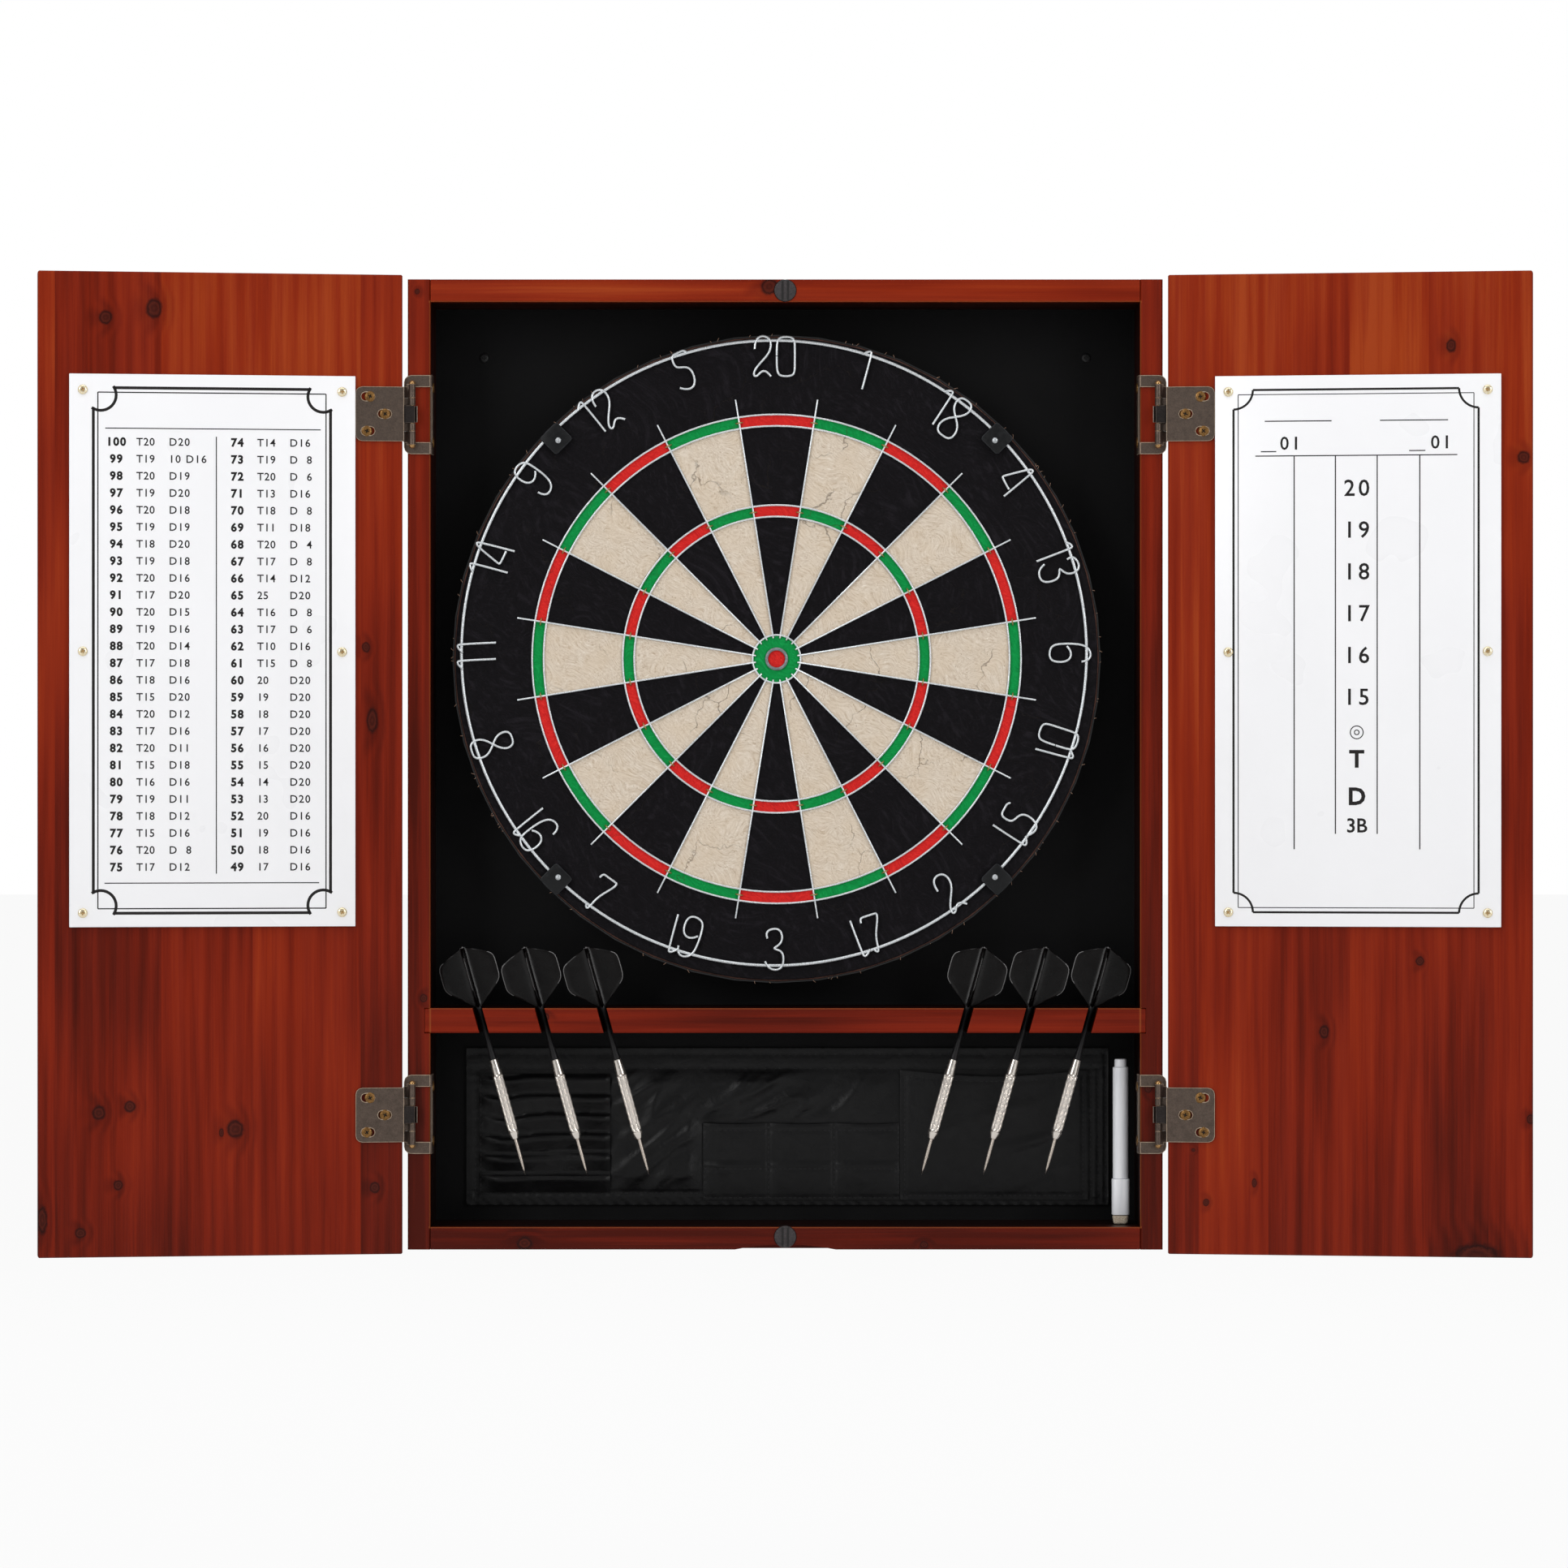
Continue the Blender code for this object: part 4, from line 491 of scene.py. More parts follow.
def buildStudio():
    world = bpy.data.worlds.new("studio")
    scene.world = world
    world.use_nodes = True
    add = partial(addNode, world.node_tree)
    seen = add("LightPath").node.outputs
    shown = add("Math", (seen["Is Camera Ray"], seen["Is Transmission Ray"]), operation="MAXIMUM")
    inputs = (seen["Is Glossy Ray"], studio["mirrored"] - studio["ambient"], studio["ambient"])
    strength = add("Math", inputs, operation="MULTIPLY_ADD")
    back = world.node_tree.nodes["Background"].inputs
    back["Color"].default_value = (1, 1, 1, 1)
    add("Math", (strength, shown), to=back["Strength"], operation="MAXIMUM")

    low = cadBox[0].z - studio["floorDrop"]
    bm = bmesh.new()
    place = Matrix.Translation((0, 0, low))
    bmesh.ops.create_grid(bm, x_segments=1, y_segments=1, size=studio["floorSize"], matrix=place)
    mesh = bpy.data.meshes.new("floor")
    bm.to_mesh(mesh)
    bm.free()
    floor = bpy.data.objects.new("floor", mesh)
    scene.collection.objects.link(floor)
    # matt paint that still looks white to the camera, and keeps a trace of shadow
    material, add = newMaterial("mattWhitePaint", "#f2f2f2", 0.8)[:2]
    glow = add("Emission", {"Color": (1, 1, 1, 1), "Strength": 1.0})
    shown = add("Math", (add("LightPath"), studio["floorGlow"]), operation="MULTIPLY")
    surface = material.node_tree.nodes["Material Output"].inputs["Surface"]
    add("MixShader", (shown, surface.links[0].from_socket, glow), to=surface)
    mesh.materials.append(material)

    for name, (place, size, power) in studio["lamps"].items():
        lamp = bpy.data.lights.new(name, "AREA")
        lamp.shape = "RECTANGLE"
        lamp.size, lamp.size_y = size
        lamp.energy = power
        light = bpy.data.objects.new(name, lamp)
        light.location = place
        light.rotation_euler = (-Vector(place)).to_track_quat("-Z", "Y").to_euler()
        scene.collection.objects.link(light)

    view = bpy.data.cameras.new("camera")
    view.sensor_width = 36
    view.lens = studio["lens"]
    view.clip_end = 100
    camera = bpy.data.objects.new("camera", view)
    camera.location = studio["camera"]
    camera.rotation_euler = (math.radians(90), 0, 0)
    scene.collection.objects.link(camera)
    scene.camera = camera
    scene.view_settings.view_transform = "Standard"


buildStudio()


# white boards on the doors, with their printed marks and screws

chart = {
    "lift": 0.02 * mm,         # print sits this deep in the coating
    "ink": 0.07 * mm,          # thickness of the printed layer
    "edge": 0.35 * mm,
    "screwAcross": 88.8 * mm,
    "screwRows": (178.6 * mm, -0.6 * mm, -179.8 * mm),
}
# the rest of the print is laid out in mm; corner holds the gap in the heavy line, how far in the
# scoop's centre is, its radius and its sweep; lines are the heavy and light widths and their distance
checkoutPrint = {
    "half": (81.2, 180.0), "shift": -0.4, "corner": (13.4, 5.0, 10.6, 160), "lines": (2.0, 0.8, 3.1),
    "rules": ((-73.5, 152.3, 74, 152.3), (-74, -159.4, 73, -159.4), (2.4, 147, 2.4, -153)),
    "rule": (0.7, 0.7),        # width of the level ones and of the upright ones
    "firstRow": 143.3, "pitch": 11.66, "secondBlock": 82.7,
    # place, height, weight, spacing and side of each column
    "columns": (
        (-66.0, 5.67, 0.34, 1.2, "CENTER"), (-52.3, 5.4, 0.1, 1.1, "LEFT"), (-30.0, 5.4, 0.1, 1.18, "LEFT"),
    ),
}
scorePrint = {
    "half": (83.9, 179.7), "shift": -1.3, "corner": (13.3, 0.0, 13.3, 90), "lines": (1.5, 0.6, 3.2),
    "rules": (
        (-63.7, 158.1, -17.8, 158.1), (15.3, 158.1, 61.8, 158.1), (-66.4, 137.2, -55.8, 137.2),
        (35.2, 137.2, 46.3, 137.2), (-70.2, 134.2, 68.1, 134.2), (-43.5, 134.2, -43.5, -136.3),
        (-15.2, 134.2, -15.2, -125.7), (13.4, 134.2, 13.4, -125.7), (42.5, 134.2, 42.5, -136.3),
    ),
    "rule": (0.75, 0.8),
    # place, height, weight and spacing of each mark
    "marks": (
        ("01", -46.2, 143.2, 9.2, 0.15, 1.25), ("01", 57.0, 143.2, 9.2, 0.15, 1.25),
        ("T", -0.6, -73.8, 12.0, 0.5, 1.0), ("D", -0.6, -99.5, 12.0, 0.5, 1.0),
        ("3B", -0.6, -119.6, 10.0, 0.2, 1.0),
    ),
    # first and last number, place of the first, step down, then height, weight and spacing
    "numbers": (20, 15, -0.6, 112.3, 28.7, (11.6, 0.15, 1.25)),
    "bull": (-0.6, -56.0, (4.4, 1.6), 0.7),    # its ring and dot
}
# best finishes from 100 down to 61; below that every score is one single and a double
finishes = """T20 D20|T19 10 D16|T20 D19|T19 D20|T20 D18|T19 D19|T18 D20|T19 D18|T20 D16|T17 D20
T20 D15|T19 D16|T20 D14|T17 D18|T18 D16|T15 D20|T20 D12|T17 D16|T20 D11|T15 D18
T16 D16|T19 D11|T18 D12|T15 D16|T20 D8|T17 D12|T14 D16|T19 D8|T20 D6|T13 D16
T18 D8|T11 D18|T20 D4|T17 D8|T14 D12|25 D20|T16 D8|T17 D6|T10 D16|T15 D8"""


def addText(bm, words, x, y, height, weight, spacing, align="CENTER"):
    # raised lettering in the board's plane: x right, y up, z out of the board
    curve = bpy.data.curves.new("ink", "FONT")
    curve.body = words
    curve.size = height * mm / 0.729    # the built-in face's capitals are this share of its size
    curve.extrude = chart["ink"] / 2
    curve.offset = weight * mm
    curve.space_character = spacing
    curve.resolution_u = 3
    curve.align_x = align
    place = Matrix.Translation((x * mm, (y - height / 2) * mm, 0))
    addCopy(bm, bmeshOf(bpy.data.objects.new("ink", curve)), place, last=True)


def addRule(bm, x0, y0, x1, y1, width):
    # printed line, level or upright
    wide, tall = (0, width / 2) if y0 == y1 else (width / 2, 0)
    half = chart["ink"] / 2 / mm
    low = (min(x0, x1) - wide, min(y0, y1) - tall, -half)
    addBar(bm, low, (max(x0, x1) + wide, max(y0, y1) + tall, half))


def addArc(bm, x, y, radius, start, sweep, width, steps=14):
    # printed arc, spun from one small bar's end face
    inner, outer, half = (radius - width / 2) * mm, (radius + width / 2) * mm, chart["ink"] / 2
    corners = ((inner, -half), (outer, -half), (outer, half), (inner, half))
    arc = bmesh.new()
    face = arc.faces.new([arc.verts.new(turned(start, "Z") @ Vector((out, 0, z))) for out, z in corners])
    spin(arc, [face], sweep, steps, False)
    bmesh.ops.recalc_face_normals(arc, faces=arc.faces)
    addCopy(bm, arc, Matrix.Translation((x * mm, y * mm, 0)), last=True)


def printFrame(look):
    # double border; the heavier line breaks at each corner for a scooped arc
    bm = bmesh.new()
    (wide, tall), shift, (gap, inward, radius, sweep) = look["half"], look["shift"], look["corner"]
    heavy, light, inset = look["lines"]
    for side in (-1, 1):
        for less, cut, width in ((0, gap, heavy), (inset, inset, light)):
            x, y = side * (wide - less) + shift, side * (tall - less)
            addRule(bm, x, cut - tall, x, tall - cut, width)
            addRule(bm, cut - wide + shift, y, wide - cut + shift, y, width)
        for end in (-1, 1):
            x, y = side * (wide - inward) + shift, end * (tall - inward)
            middle = math.degrees(math.atan2(-end, -side))
            addArc(bm, x, y, radius, middle - sweep / 2, sweep, heavy)
    for rule in look["rules"]:
        addRule(bm, *rule, look["rule"][rule[0] == rule[2]])
    return bm


def printCheckout():
    look = checkoutPrint
    bm = printFrame(look)
    rows = [row.split(" ", 1) for row in finishes.replace("\n", "|").split("|")]
    rows += [[str(total - 40), "D20"] for total in range(60, 52, -1)]
    rows += [[str(total - 32), "D16"] for total in range(52, 48, -1)]
    for step, (first, last) in enumerate(rows):
        block, row = divmod(step, len(rows) // 2)
        if len(last) == 2:
            last = last[0] + "  " + last[1]
        for words, (x, *lettering) in zip((str(100 - step), first, last), look["columns"]):
            x += block * look["secondBlock"]
            addText(bm, words, x, look["firstRow"] - row * look["pitch"], *lettering)
    return bm


def printScore():
    look = scorePrint
    bm = printFrame(look)
    for mark in look["marks"]:
        addText(bm, *mark)
    first, last, x, top, step, lettering = look["numbers"]
    for row, number in enumerate(range(first, last - 1, -1)):
        addText(bm, str(number), x, top - row * step, *lettering)
    x, y, radii, width = look["bull"]
    for radius in radii:
        addArc(bm, x, y, radius, 0, 360, width, steps=28)
    return bm


def chartPlace(side, nodeName):
    # matrix from a board's own plane (x right, y up, z out) to the room
    door = doorMatrix(side)
    corners = [door.inverted() @ vert.co for vert in frame["nodes"][nodeName].data.vertices]
    low, high = ([pick(corner[axis] for corner in corners) for axis in range(3)] for pick in (min, max))
    centre = Vector(((low[0] + high[0]) / 2, high[1], (low[2] + high[2]) / 2))
    facing = Matrix(((-1, 0, 0, 0), (0, 0, 1, 0), (0, 1, 0, 0), (0, 0, 0, 1)))
    return door @ Matrix.Translation(centre) @ facing


# screws, in mm: radius, height, depth of the recess and half its length

screws = {
    "pan": (3.35, 1.5, 1.1, 2.1),
    "flat": (3.75, 1.0, 0.9, 2.0),
    "blade": 0.42,             # half width of the recess
}


def screwHead(radius, height, recess, arm):
    # head about Z with its seat at 0, crossed recess cut into the crown
    dome = ((0, 0), (0.96, 0), (1, 0.15), (0.97, 0.42), (0.82, 0.78), (0.5, 0.96), (0, 1))
    head = spun([(radius * out, height * up) for out, up in dome], 28)
    cross = bmesh.new()
    blade = screws["blade"]
    for turn in (0, 90):
        verts = addBar(cross, (-arm, -blade, height - recess), (arm, blade, 2 * height))
        for vert in verts:
            if vert.co.z < height * mm:
                vert.co.x *= 0.45
        bmesh.ops.rotate(cross, verts=verts, cent=(0, 0, 0), matrix=turned(turn, "Z").to_3x3())
    for face in cross.faces:
        face.material_index = 1        # the recess takes the second material: painted shade
    solids = []
    for bm in (head, cross):
        mesh = bpy.data.meshes.new("screw")
        bm.to_mesh(mesh)
        bm.free()
        for slot in range(2):
            mesh.materials.append(None)
        solids.append(bpy.data.objects.new("screw", mesh))
        scene.collection.objects.link(solids[-1])
    cut = solids[0].modifiers.new("recess", "BOOLEAN")
    cut.object = solids[1]
    cut.operation = "DIFFERENCE"
    cut.use_self = True
    bpy.context.view_layer.update()
    whole = solids[0].evaluated_get(bpy.context.evaluated_depsgraph_get())
    done = bmesh.new()
    done.from_mesh(bpy.data.meshes.new_from_object(whole))
    for solid in solids:
        data = solid.data
        bpy.data.objects.remove(solid)
        bpy.data.meshes.remove(data)
    return done


# Hardboard under white melamine film: bright, smooth, faint orange-peel gloss.
melamine = mottled(
    "whiteMelamine", "#f3f3f4", size=60, tones=[(0.3, "#f2f2f4"), (0.7, "#f4f4f6")],
    gloss=(0.27, 0.31), relief=(3, 0.02, 1.0, 1.0), IOR=1.5,
)
# Screen-printed black ink: soft black with slightly uneven cover.
ink = mottled(
    "screenInk", "#1b1717", size=1.2, tones=[(0.3, "#141111"), (0.75, "#231f1f")], gloss=0.55,
    Specular_IOR_Level=0.25,
)
# Brass-plated steel: pale and polished on the boards' screws, aged to ochre on the hinge pins.
brass, agedBrass = (
    mottled(name, pale, 0.8, size=0.8, tones=[(0.3, dark), (0.7, pale)], gloss=(0.32, 0.2))
    for name, dark, pale in (("brassPlate", "#ead6a6", "#fbf2da"), ("agedBrass", "#8a6840", "#c29a66"))
)
# Screw steel browned with bronze lacquer: dull ochre; its recess takes a matt dark material as painted shade.
browned = mottled(
    "bronzeLacqueredSteel", "#7c5a33", 0.85, spots={"Detail": 3.0},
    tones=[(0.3, "#5d4022"), (0.7, "#96703f")], gloss=(0.5, 0.36),
)
# painted shade in the screws' recesses: dark brown in the steel screws, deeper gold in the brass ones
steelRecessShade = newMaterial("steelRecessPaintedShade", "#1d140d", 0.6, 0.3)[0]
brassRecessShade = newMaterial("brassRecessPaintedShade", "#cfae74", 0.5, 0.3)[0]
panHead = screwHead(*screws["pan"])
flatHead = screwHead(*screws["flat"])
for side, nodeName, body, marks in (
    (-1, "checkout_chart", "left_door", printCheckout()), (1, "score_board", "right_door", printScore()),
):
    place = chartPlace(side, nodeName)
    panel = cadCopy(nodeName)
    softenEdges(panel, chart["edge"])
    makePiece(nodeName + "_panel", panel, melamine, body, [nodeName])
    raised = place @ Matrix.Translation((0, 0, chart["ink"] / 2 - chart["lift"]))
    makePiece(nodeName + "_print", marks, ink, body, matrix=raised)
    heads = bmesh.new()
    dice = random.Random(7 + side)
    for x in (-chart["screwAcross"], chart["screwAcross"]):
        for y in chart["screwRows"]:
            addCopy(heads, panHead, Matrix.Translation((x, y, 0)) @ turned(dice.uniform(0, 360), "Z"))
    makePiece(nodeName + "_screws", heads, [brass, brassRecessShade], body, matrix=place, smooth=50)
print("white boards done")


# dartboard: printed sisal face, wire spider, bent-wire number ring

board = {
    "bullseye": 5.9 * mm, "bull": 16.7 * mm, "treble": 107 * mm, "double": 170 * mm, "bed": 8 * mm,
    "wire": 0.68 * mm,         # radius of the spider's wire
    "radialEnds": (14.9 * mm, 182.4 * mm),
    "staple": (2.4 * mm, 0.46 * mm),           # half width of its bridge, radius of its wire
    "ring": (217.3 * mm, 1.1 * mm),            # number ring, radius of its wire
    "ringShift": (-1.8 * mm, 0, 4.1 * mm),     # the number ring sits loose in its clips
    "edge": (223.0 * mm, 223.7 * mm),          # where the print stops at the sawn edge
    # band round the bullseye: radius and height in mm
    "band": [(5.9, 0), (5.9, 0.9), (6.2, 1.3), (6.7, 1.5), (7.2, 1.5), (7.7, 1.3), (8, 0.9), (8, 0),
             (5.9, 0)],
    # whiskers of fibre at the sawn edge: how many, where they start, radius, lengths
    "whiskers": (90, 224.6 * mm, 0.16 * mm, (0.6, 2.2)),
    "dyes": {
        "cream": [(0.28, "#9a8874"), (0.38, "#bcaa96"), (0.48, "#cdbfad"), (0.6, "#d8ccbd"),
                  (0.72, "#e8e1d7")],
        "black": [(0.3, "#070608"), (0.55, "#0f0d10"), (0.75, "#1f1c21")],
        "red": [(0.3, "#ac181c"), (0.55, "#d22824"), (0.75, "#e04038")],
        "green": [(0.3, "#057234"), (0.55, "#088d43"), (0.75, "#1fa255")],
    },
}
boardCentre = middleOf("spider")
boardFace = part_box("spider")[1].y       # just clear of the sisal


def fibres(add, place, size, seed, long=9.0):
    # short hairs that drift in all directions: noise stretched along swirled axes
    swirl = add("TexNoise", {"Vector": place, "Scale": 1 / (26 * size), "Detail": 1.0}, out=1)
    moved = add("VectorMath", (swirl, [34 * size] * 3, place), operation="MULTIPLY_ADD")
    laid = add("Mapping", {"Vector": moved, "Rotation": (0, seed * 1.1, 0), "Location": (seed, seed, 0)})
    laid = add("Mapping", {"Vector": laid, "Scale": (1 / long, 1, 1)})
    return add("TexNoise", {"Vector": laid, "Scale": 1 / size, "Detail": 3.0, "Roughness": 0.6})


def printedSisal():
    # Compressed sisal fibre, sanded flat and dyed: matt, hairy, cream beds with dark splits.
    material, add, shader = newMaterial("printedSisal", "#14121a", 0.85, Specular_IOR_Level=0.12)
    place = add("TexCoord", out=3)
    # the print's edge creeps a little along the fibres
    creep = add("TexNoise", {"Vector": place, "Scale": 1 / (1.6 * mm), "Detail": 1.0}, out=1)
    creep = add("VectorMath", (creep, [0.6 * mm] * 3, place), operation="MULTIPLY_ADD")
    middle = boardCentre + Vector([0.3 * mm] * 3)
    sides = add("Mapping", {"Vector": creep, "Location": middle}, vector_type="TEXTURE")
    x, y, z = add("SeparateXYZ", (sides,)).node.outputs
    flat = add("VectorMath", (sides, (1, 0, 1)), operation="MULTIPLY")
    radius = add("VectorMath", (flat,), out=1, operation="LENGTH")
    # sectors are counted clockwise from the top
    turn = add("Math", (x, z), operation="ARCTAN2")
    sector = add("Math", (turn, 20 / math.tau, 20.5), operation="MULTIPLY_ADD")
    sector = add("Math", (sector,), operation="FLOOR")
    odd = add("Math", (sector, 2.0), operation="MODULO")

    hairs = fibres(add, place, 0.5 * mm, 0.0)
    strands = fibres(add, place, 1.0 * mm, 2.3, 12.0)
    curls = fibres(add, place, 0.9 * mm, 5.1, 7.0)
    swirls = fibres(add, place, 4 * mm, 7.7, 5.0)
    cloud = add("TexNoise", {"Vector": place, "Scale": 1 / (16 * mm)})
    speck = add("Mapping", {"Vector": place, "Scale": (1, 1, 1 / 2.2)})
    speck = add("TexNoise", {"Vector": speck, "Scale": 1 / (1.0 * mm), "Detail": 1.0})
    both = add("Mix", {0: 0.65, 2: hairs, 3: strands})
    dye = {name: add("ValToRGB", (both,), ramp=tones) for name, tones in board["dyes"].items()}
    for name, pattern, low, high, most, tint in (
        ("cream", cloud, 0.35, 0.7, 0.25, "#cdb89c"), ("cream", curls, 0.66, 0.74, 0.6, "#efe9df"),
        ("cream", curls, 0.34, 0.27, 0.55, "#8f7a62"), ("cream", speck, 0.74, 0.80, 0.75, "#8a7660"),
        ("black", swirls, 0.5, 0.75, 0.5, "#242126"),
    ):
        share = add("MapRange", (pattern, low, high, 0.0, most), **eased)
        dye[name] = add("Mix", {0: share, 6: dye[name], 7: tint}, **colours)

    beds = add("Mix", {0: odd, 6: dye["black"], 7: dye["cream"]}, **colours)
    scoring = add("Mix", {0: odd, 6: dye["red"], 7: dye["green"]}, **colours)
    colour = dye["red"]
    for edge, dyed in (
        (board["bullseye"] + 1.0 * mm, dye["green"]), (board["bull"], beds),
        (board["treble"] - board["bed"], scoring), (board["treble"], beds),
        (board["double"] - board["bed"], scoring), (board["double"], dye["black"]),
    ):
        beyond = add("Math", (radius, edge), operation="GREATER_THAN")
        colour = add("Mix", {0: beyond, 6: colour, 7: dyed}, **colours)

    # drying splits: warped cell edges, kept to a few places
    warp = add("TexNoise", {"Vector": place, "Scale": 1 / (14 * mm), "Detail": 4.0}, out=1)
    warp = add("VectorMath", (warp, [26 * mm] * 3, place), operation="MULTIPLY_ADD")
    warp = add("VectorMath", (warp, (1, 0, 1)), operation="MULTIPLY")
    cell = add("TexVoronoi", {"Vector": warp, "Scale": 1 / (62 * mm)}, feature="DISTANCE_TO_EDGE")
    kept = add("TexNoise", {"Vector": place, "Scale": 1 / (34 * mm), "Detail": 1.0})
    split = add("MapRange", (cell, 0.0, 0.008, 1.0, 0.0), **eased)
    kept = add("MapRange", (kept, 0.46, 0.62), **eased)
    split = add("Math", (split, kept), operation="MULTIPLY")
    # painted shade in the splits: dark on the cream and barely at all on the black, where the mix shows a
    # little brown fibre
    shows = add("RGBToBW", (colour,))
    shows = add("MapRange", (shows, 0.02, 0.4, 0.12, 0.55), **eased)
    shows = add("Math", (split, shows), operation="MULTIPLY")
    colour = add("Mix", {0: shows, 6: colour, 7: "#3d352b"}, **colours)
    # bare brown fibre on the turned edge
    bare = add("MapRange", (radius, *board["edge"]), **eased)
    add("Mix", {0: bare, 6: colour, 7: "#5b4038"}, to=shader["Base Color"], **colours)
    relief = add("Math", (split, -1.5, both), operation="MULTIPLY_ADD")
    add("Bump", {"Height": relief, "Distance": 0.25 * mm, "Strength": 0.8}, to=shader["Normal"])
    return material


def onBoard(angle, radius, lift):
    # a point on the face: angle clockwise from the top in degrees, lift out of the face
    turn = math.radians(angle)
    return boardCentre.x + radius * math.sin(turn), boardFace - lift, boardCentre.z + radius * math.cos(turn)


def buildSpider(wireMetal, bandMetal, stapleMetal):
    thick, bed = board["wire"], board["bed"]
    bm = bmesh.new()
    addHoop(bm, (boardCentre.x, boardFace - thick, boardCentre.z), board["bull"], thick, 8, 48)
    for radius in (board["treble"] - bed, board["treble"], board["double"] - bed, board["double"]):
        addHoop(bm, (boardCentre.x, boardFace - thick, boardCentre.z), radius, thick, 8, 120)
    inner, outer = board["radialEnds"]
    high = 1.35 * thick        # a radial rides over the rings it crosses
    half, wireRadius = board["staple"]
    crown = 2.9 * thick
    radials, bridges = [], []
    for angle in range(9, 360, 18):
        radials.append([
            onBoard(angle, inner, 0.5 * thick), onBoard(angle, inner + 0.8 * mm, high),
            onBoard(angle, outer - 2.2 * mm, high), onBoard(angle, outer, thick * 0.4),
        ])
        # staples pin each radial in the middle of the treble and double beds
        for radius in (board["treble"] - bed / 2, board["double"] - bed / 2):
            wide = math.degrees(half / radius)
            bridges.append([
                onBoard(angle + wide * share, radius, lift)
                for share, lift in ((-1, -0.2 * mm), (-0.7, crown * 0.55), (0, crown), (0.7, crown * 0.55),
                                    (1, -0.2 * mm))
            ])
    addCopy(bm, wires(radials, thick * 0.92, kind="POLY"), last=True)
    makePiece("spider_wires", bm, wireMetal, "dartboard", ["spider"], smooth=60)

    makePiece("bull_ring_band", spun(board["band"], 48, "Y"), bandMetal, "dartboard",
              ["bullseye_ring"], matrix=Matrix.Translation((boardCentre.x, boardFace, boardCentre.z)))
    staples = wires(bridges, wireRadius, sides=1, smoothness=2)
    makePiece("spider_staples", staples, stapleMetal, "dartboard", smooth=60)


# numerals: bent strokes, x and y in turn, in hundredths of the box that a digit fills
numerals = {
    "height": 25.6 * mm, "width": 12.6 * mm, "overRing": 1.6 * mm, "wire": 0.78 * mm,
    "order": (20, 1, 18, 4, 13, 6, 10, 15, 2, 17, 3, 19, 7, 16, 8, 11, 14, 9, 12, 5),
    "headIn": (10, 15, 2, 17, 3, 19, 7, 16, 8),
    "narrow": 11.4 * mm, "wide": 16.4 * mm,    # from digit to digit, with and without a 1
}
bends = {
    "0": "0 50 0 22 2 -2 50 -4 98 -2 100 22 100 78 98 102 50 104 2 102 0 78 0 52",
    "1": "62 0 58 50 52 94 50 105 34 104 20 98 6 90",
    "2": "8 70 10 98 50 110 100 98 98 66 62 44 12 18 -2 -2 22 -6 48 14 78 10 98 -4",
    "3": "14 80 0 96 34 108 94 106 100 66 42 54 62 50 106 44 102 -2 50 -8 16 0 0 18",
    "4": "96 0 90 50 84 94 80 106 66 104 52 92 8 36 2 28 12 26 82 22",
    "5": "102 96 92 104 60 100 20 100 14 84 20 62 62 60 106 50 102 -2 50 -6 8 8",
    "6": "98 80 94 106 30 108 -2 80 -2 20 10 -6 90 -10 104 20 92 52 40 54 12 40",
    "7": "0 84 2 98 20 98 86 98 100 98 96 82 56 42 50 12 48 -4 34 -5 24 6",
    "8": "46 52 98 72 98 106 50 108 2 106 2 72 52 52 106 30 102 -8 50 -8 -2 -8 -6 30 48 52",
}
for digit, text in bends.items():
    values = [int(word) / 100 for word in text.split()]
    bends[digit] = list(zip(values[::2], values[1::2]))
bends["9"] = [(1 - x, 1 - y) for x, y in bends["6"]]


def buildNumberRing(wireMetal):
    height, width, thin = numerals["height"], numerals["width"], numerals["wire"]
    radius, thick = board["ring"]
    foot = radius + numerals["overRing"] - height
    middle = boardCentre + Vector(board["ringShift"])
    lift = thick + 1.5 * thin      # numerals lie over the ring's wire
    strokes = []
    for place, number in enumerate(numerals["order"]):
        angle = math.radians(18 * place)
        out = Vector((math.sin(angle), 0, math.cos(angle)))
        across = Vector((math.cos(angle), 0, -math.sin(angle)))
        digits = str(number)
        step = numerals["narrow" if "1" in digits else "wide"]
        flip = -1 if number in numerals["headIn"] else 1
        for index, digit in enumerate(digits):
            shift = (index - (len(digits) - 1) / 2) * step
            stroke = []
            for x, y in bends[digit]:
                # a 1 keeps its hook on the ring, whichever way up it stands
                x, y = (1 - x, 1 - y) if digit == "1" and flip < 0 else (x, y)
                sideways, upward = (x - 0.5) * width + shift, y * height
                if flip < 0:
                    upward = height - upward
                point = middle + out * (foot + upward) + across * sideways * flip
                tuck = max(0.0, abs(upward - height * 0.5) / height - 0.42) * 4 * mm
                stroke.append((point.x, boardFace - lift + min(tuck, 0.5 * mm), point.z))
            strokes.append(stroke)
    bm = wires(strokes, thin, smoothness=5)
    addHoop(bm, (middle.x, boardFace - thick, middle.z), radius, thick, 10, 160)
    makePiece("number_ring_wires", bm, wireMetal, "dartboard", ["number_ring"], smooth=60)


def galvanisedWire(name, deep, bright, dull=0.0):
    # Drawn steel wire, zinc coated: cool bright grey, finely streaked along its length.
    gloss = (0.36 + dull, 0.24 + dull)
    return mottled(name, bright, 0.62, 1.5, tones=[(0.3, deep), (0.7, bright)], gloss=gloss)


def blackPlastic(name, colour, matt):
    # Injection-moulded plastic: deep black, light scuffs that catch the light.
    return mottled(
        name, colour, size=2.5, spots={"Detail": 4.0, "Roughness": 0.7}, gloss=(matt - 0.08, matt + 0.15),
        bright=0.75, tones=[(0.35, "#0e0f11"), (0.62, colour), (0.8, "#26282b")],
        relief=(2.5, 0.05, 1.0), Specular_IOR_Level=0.25,
    )


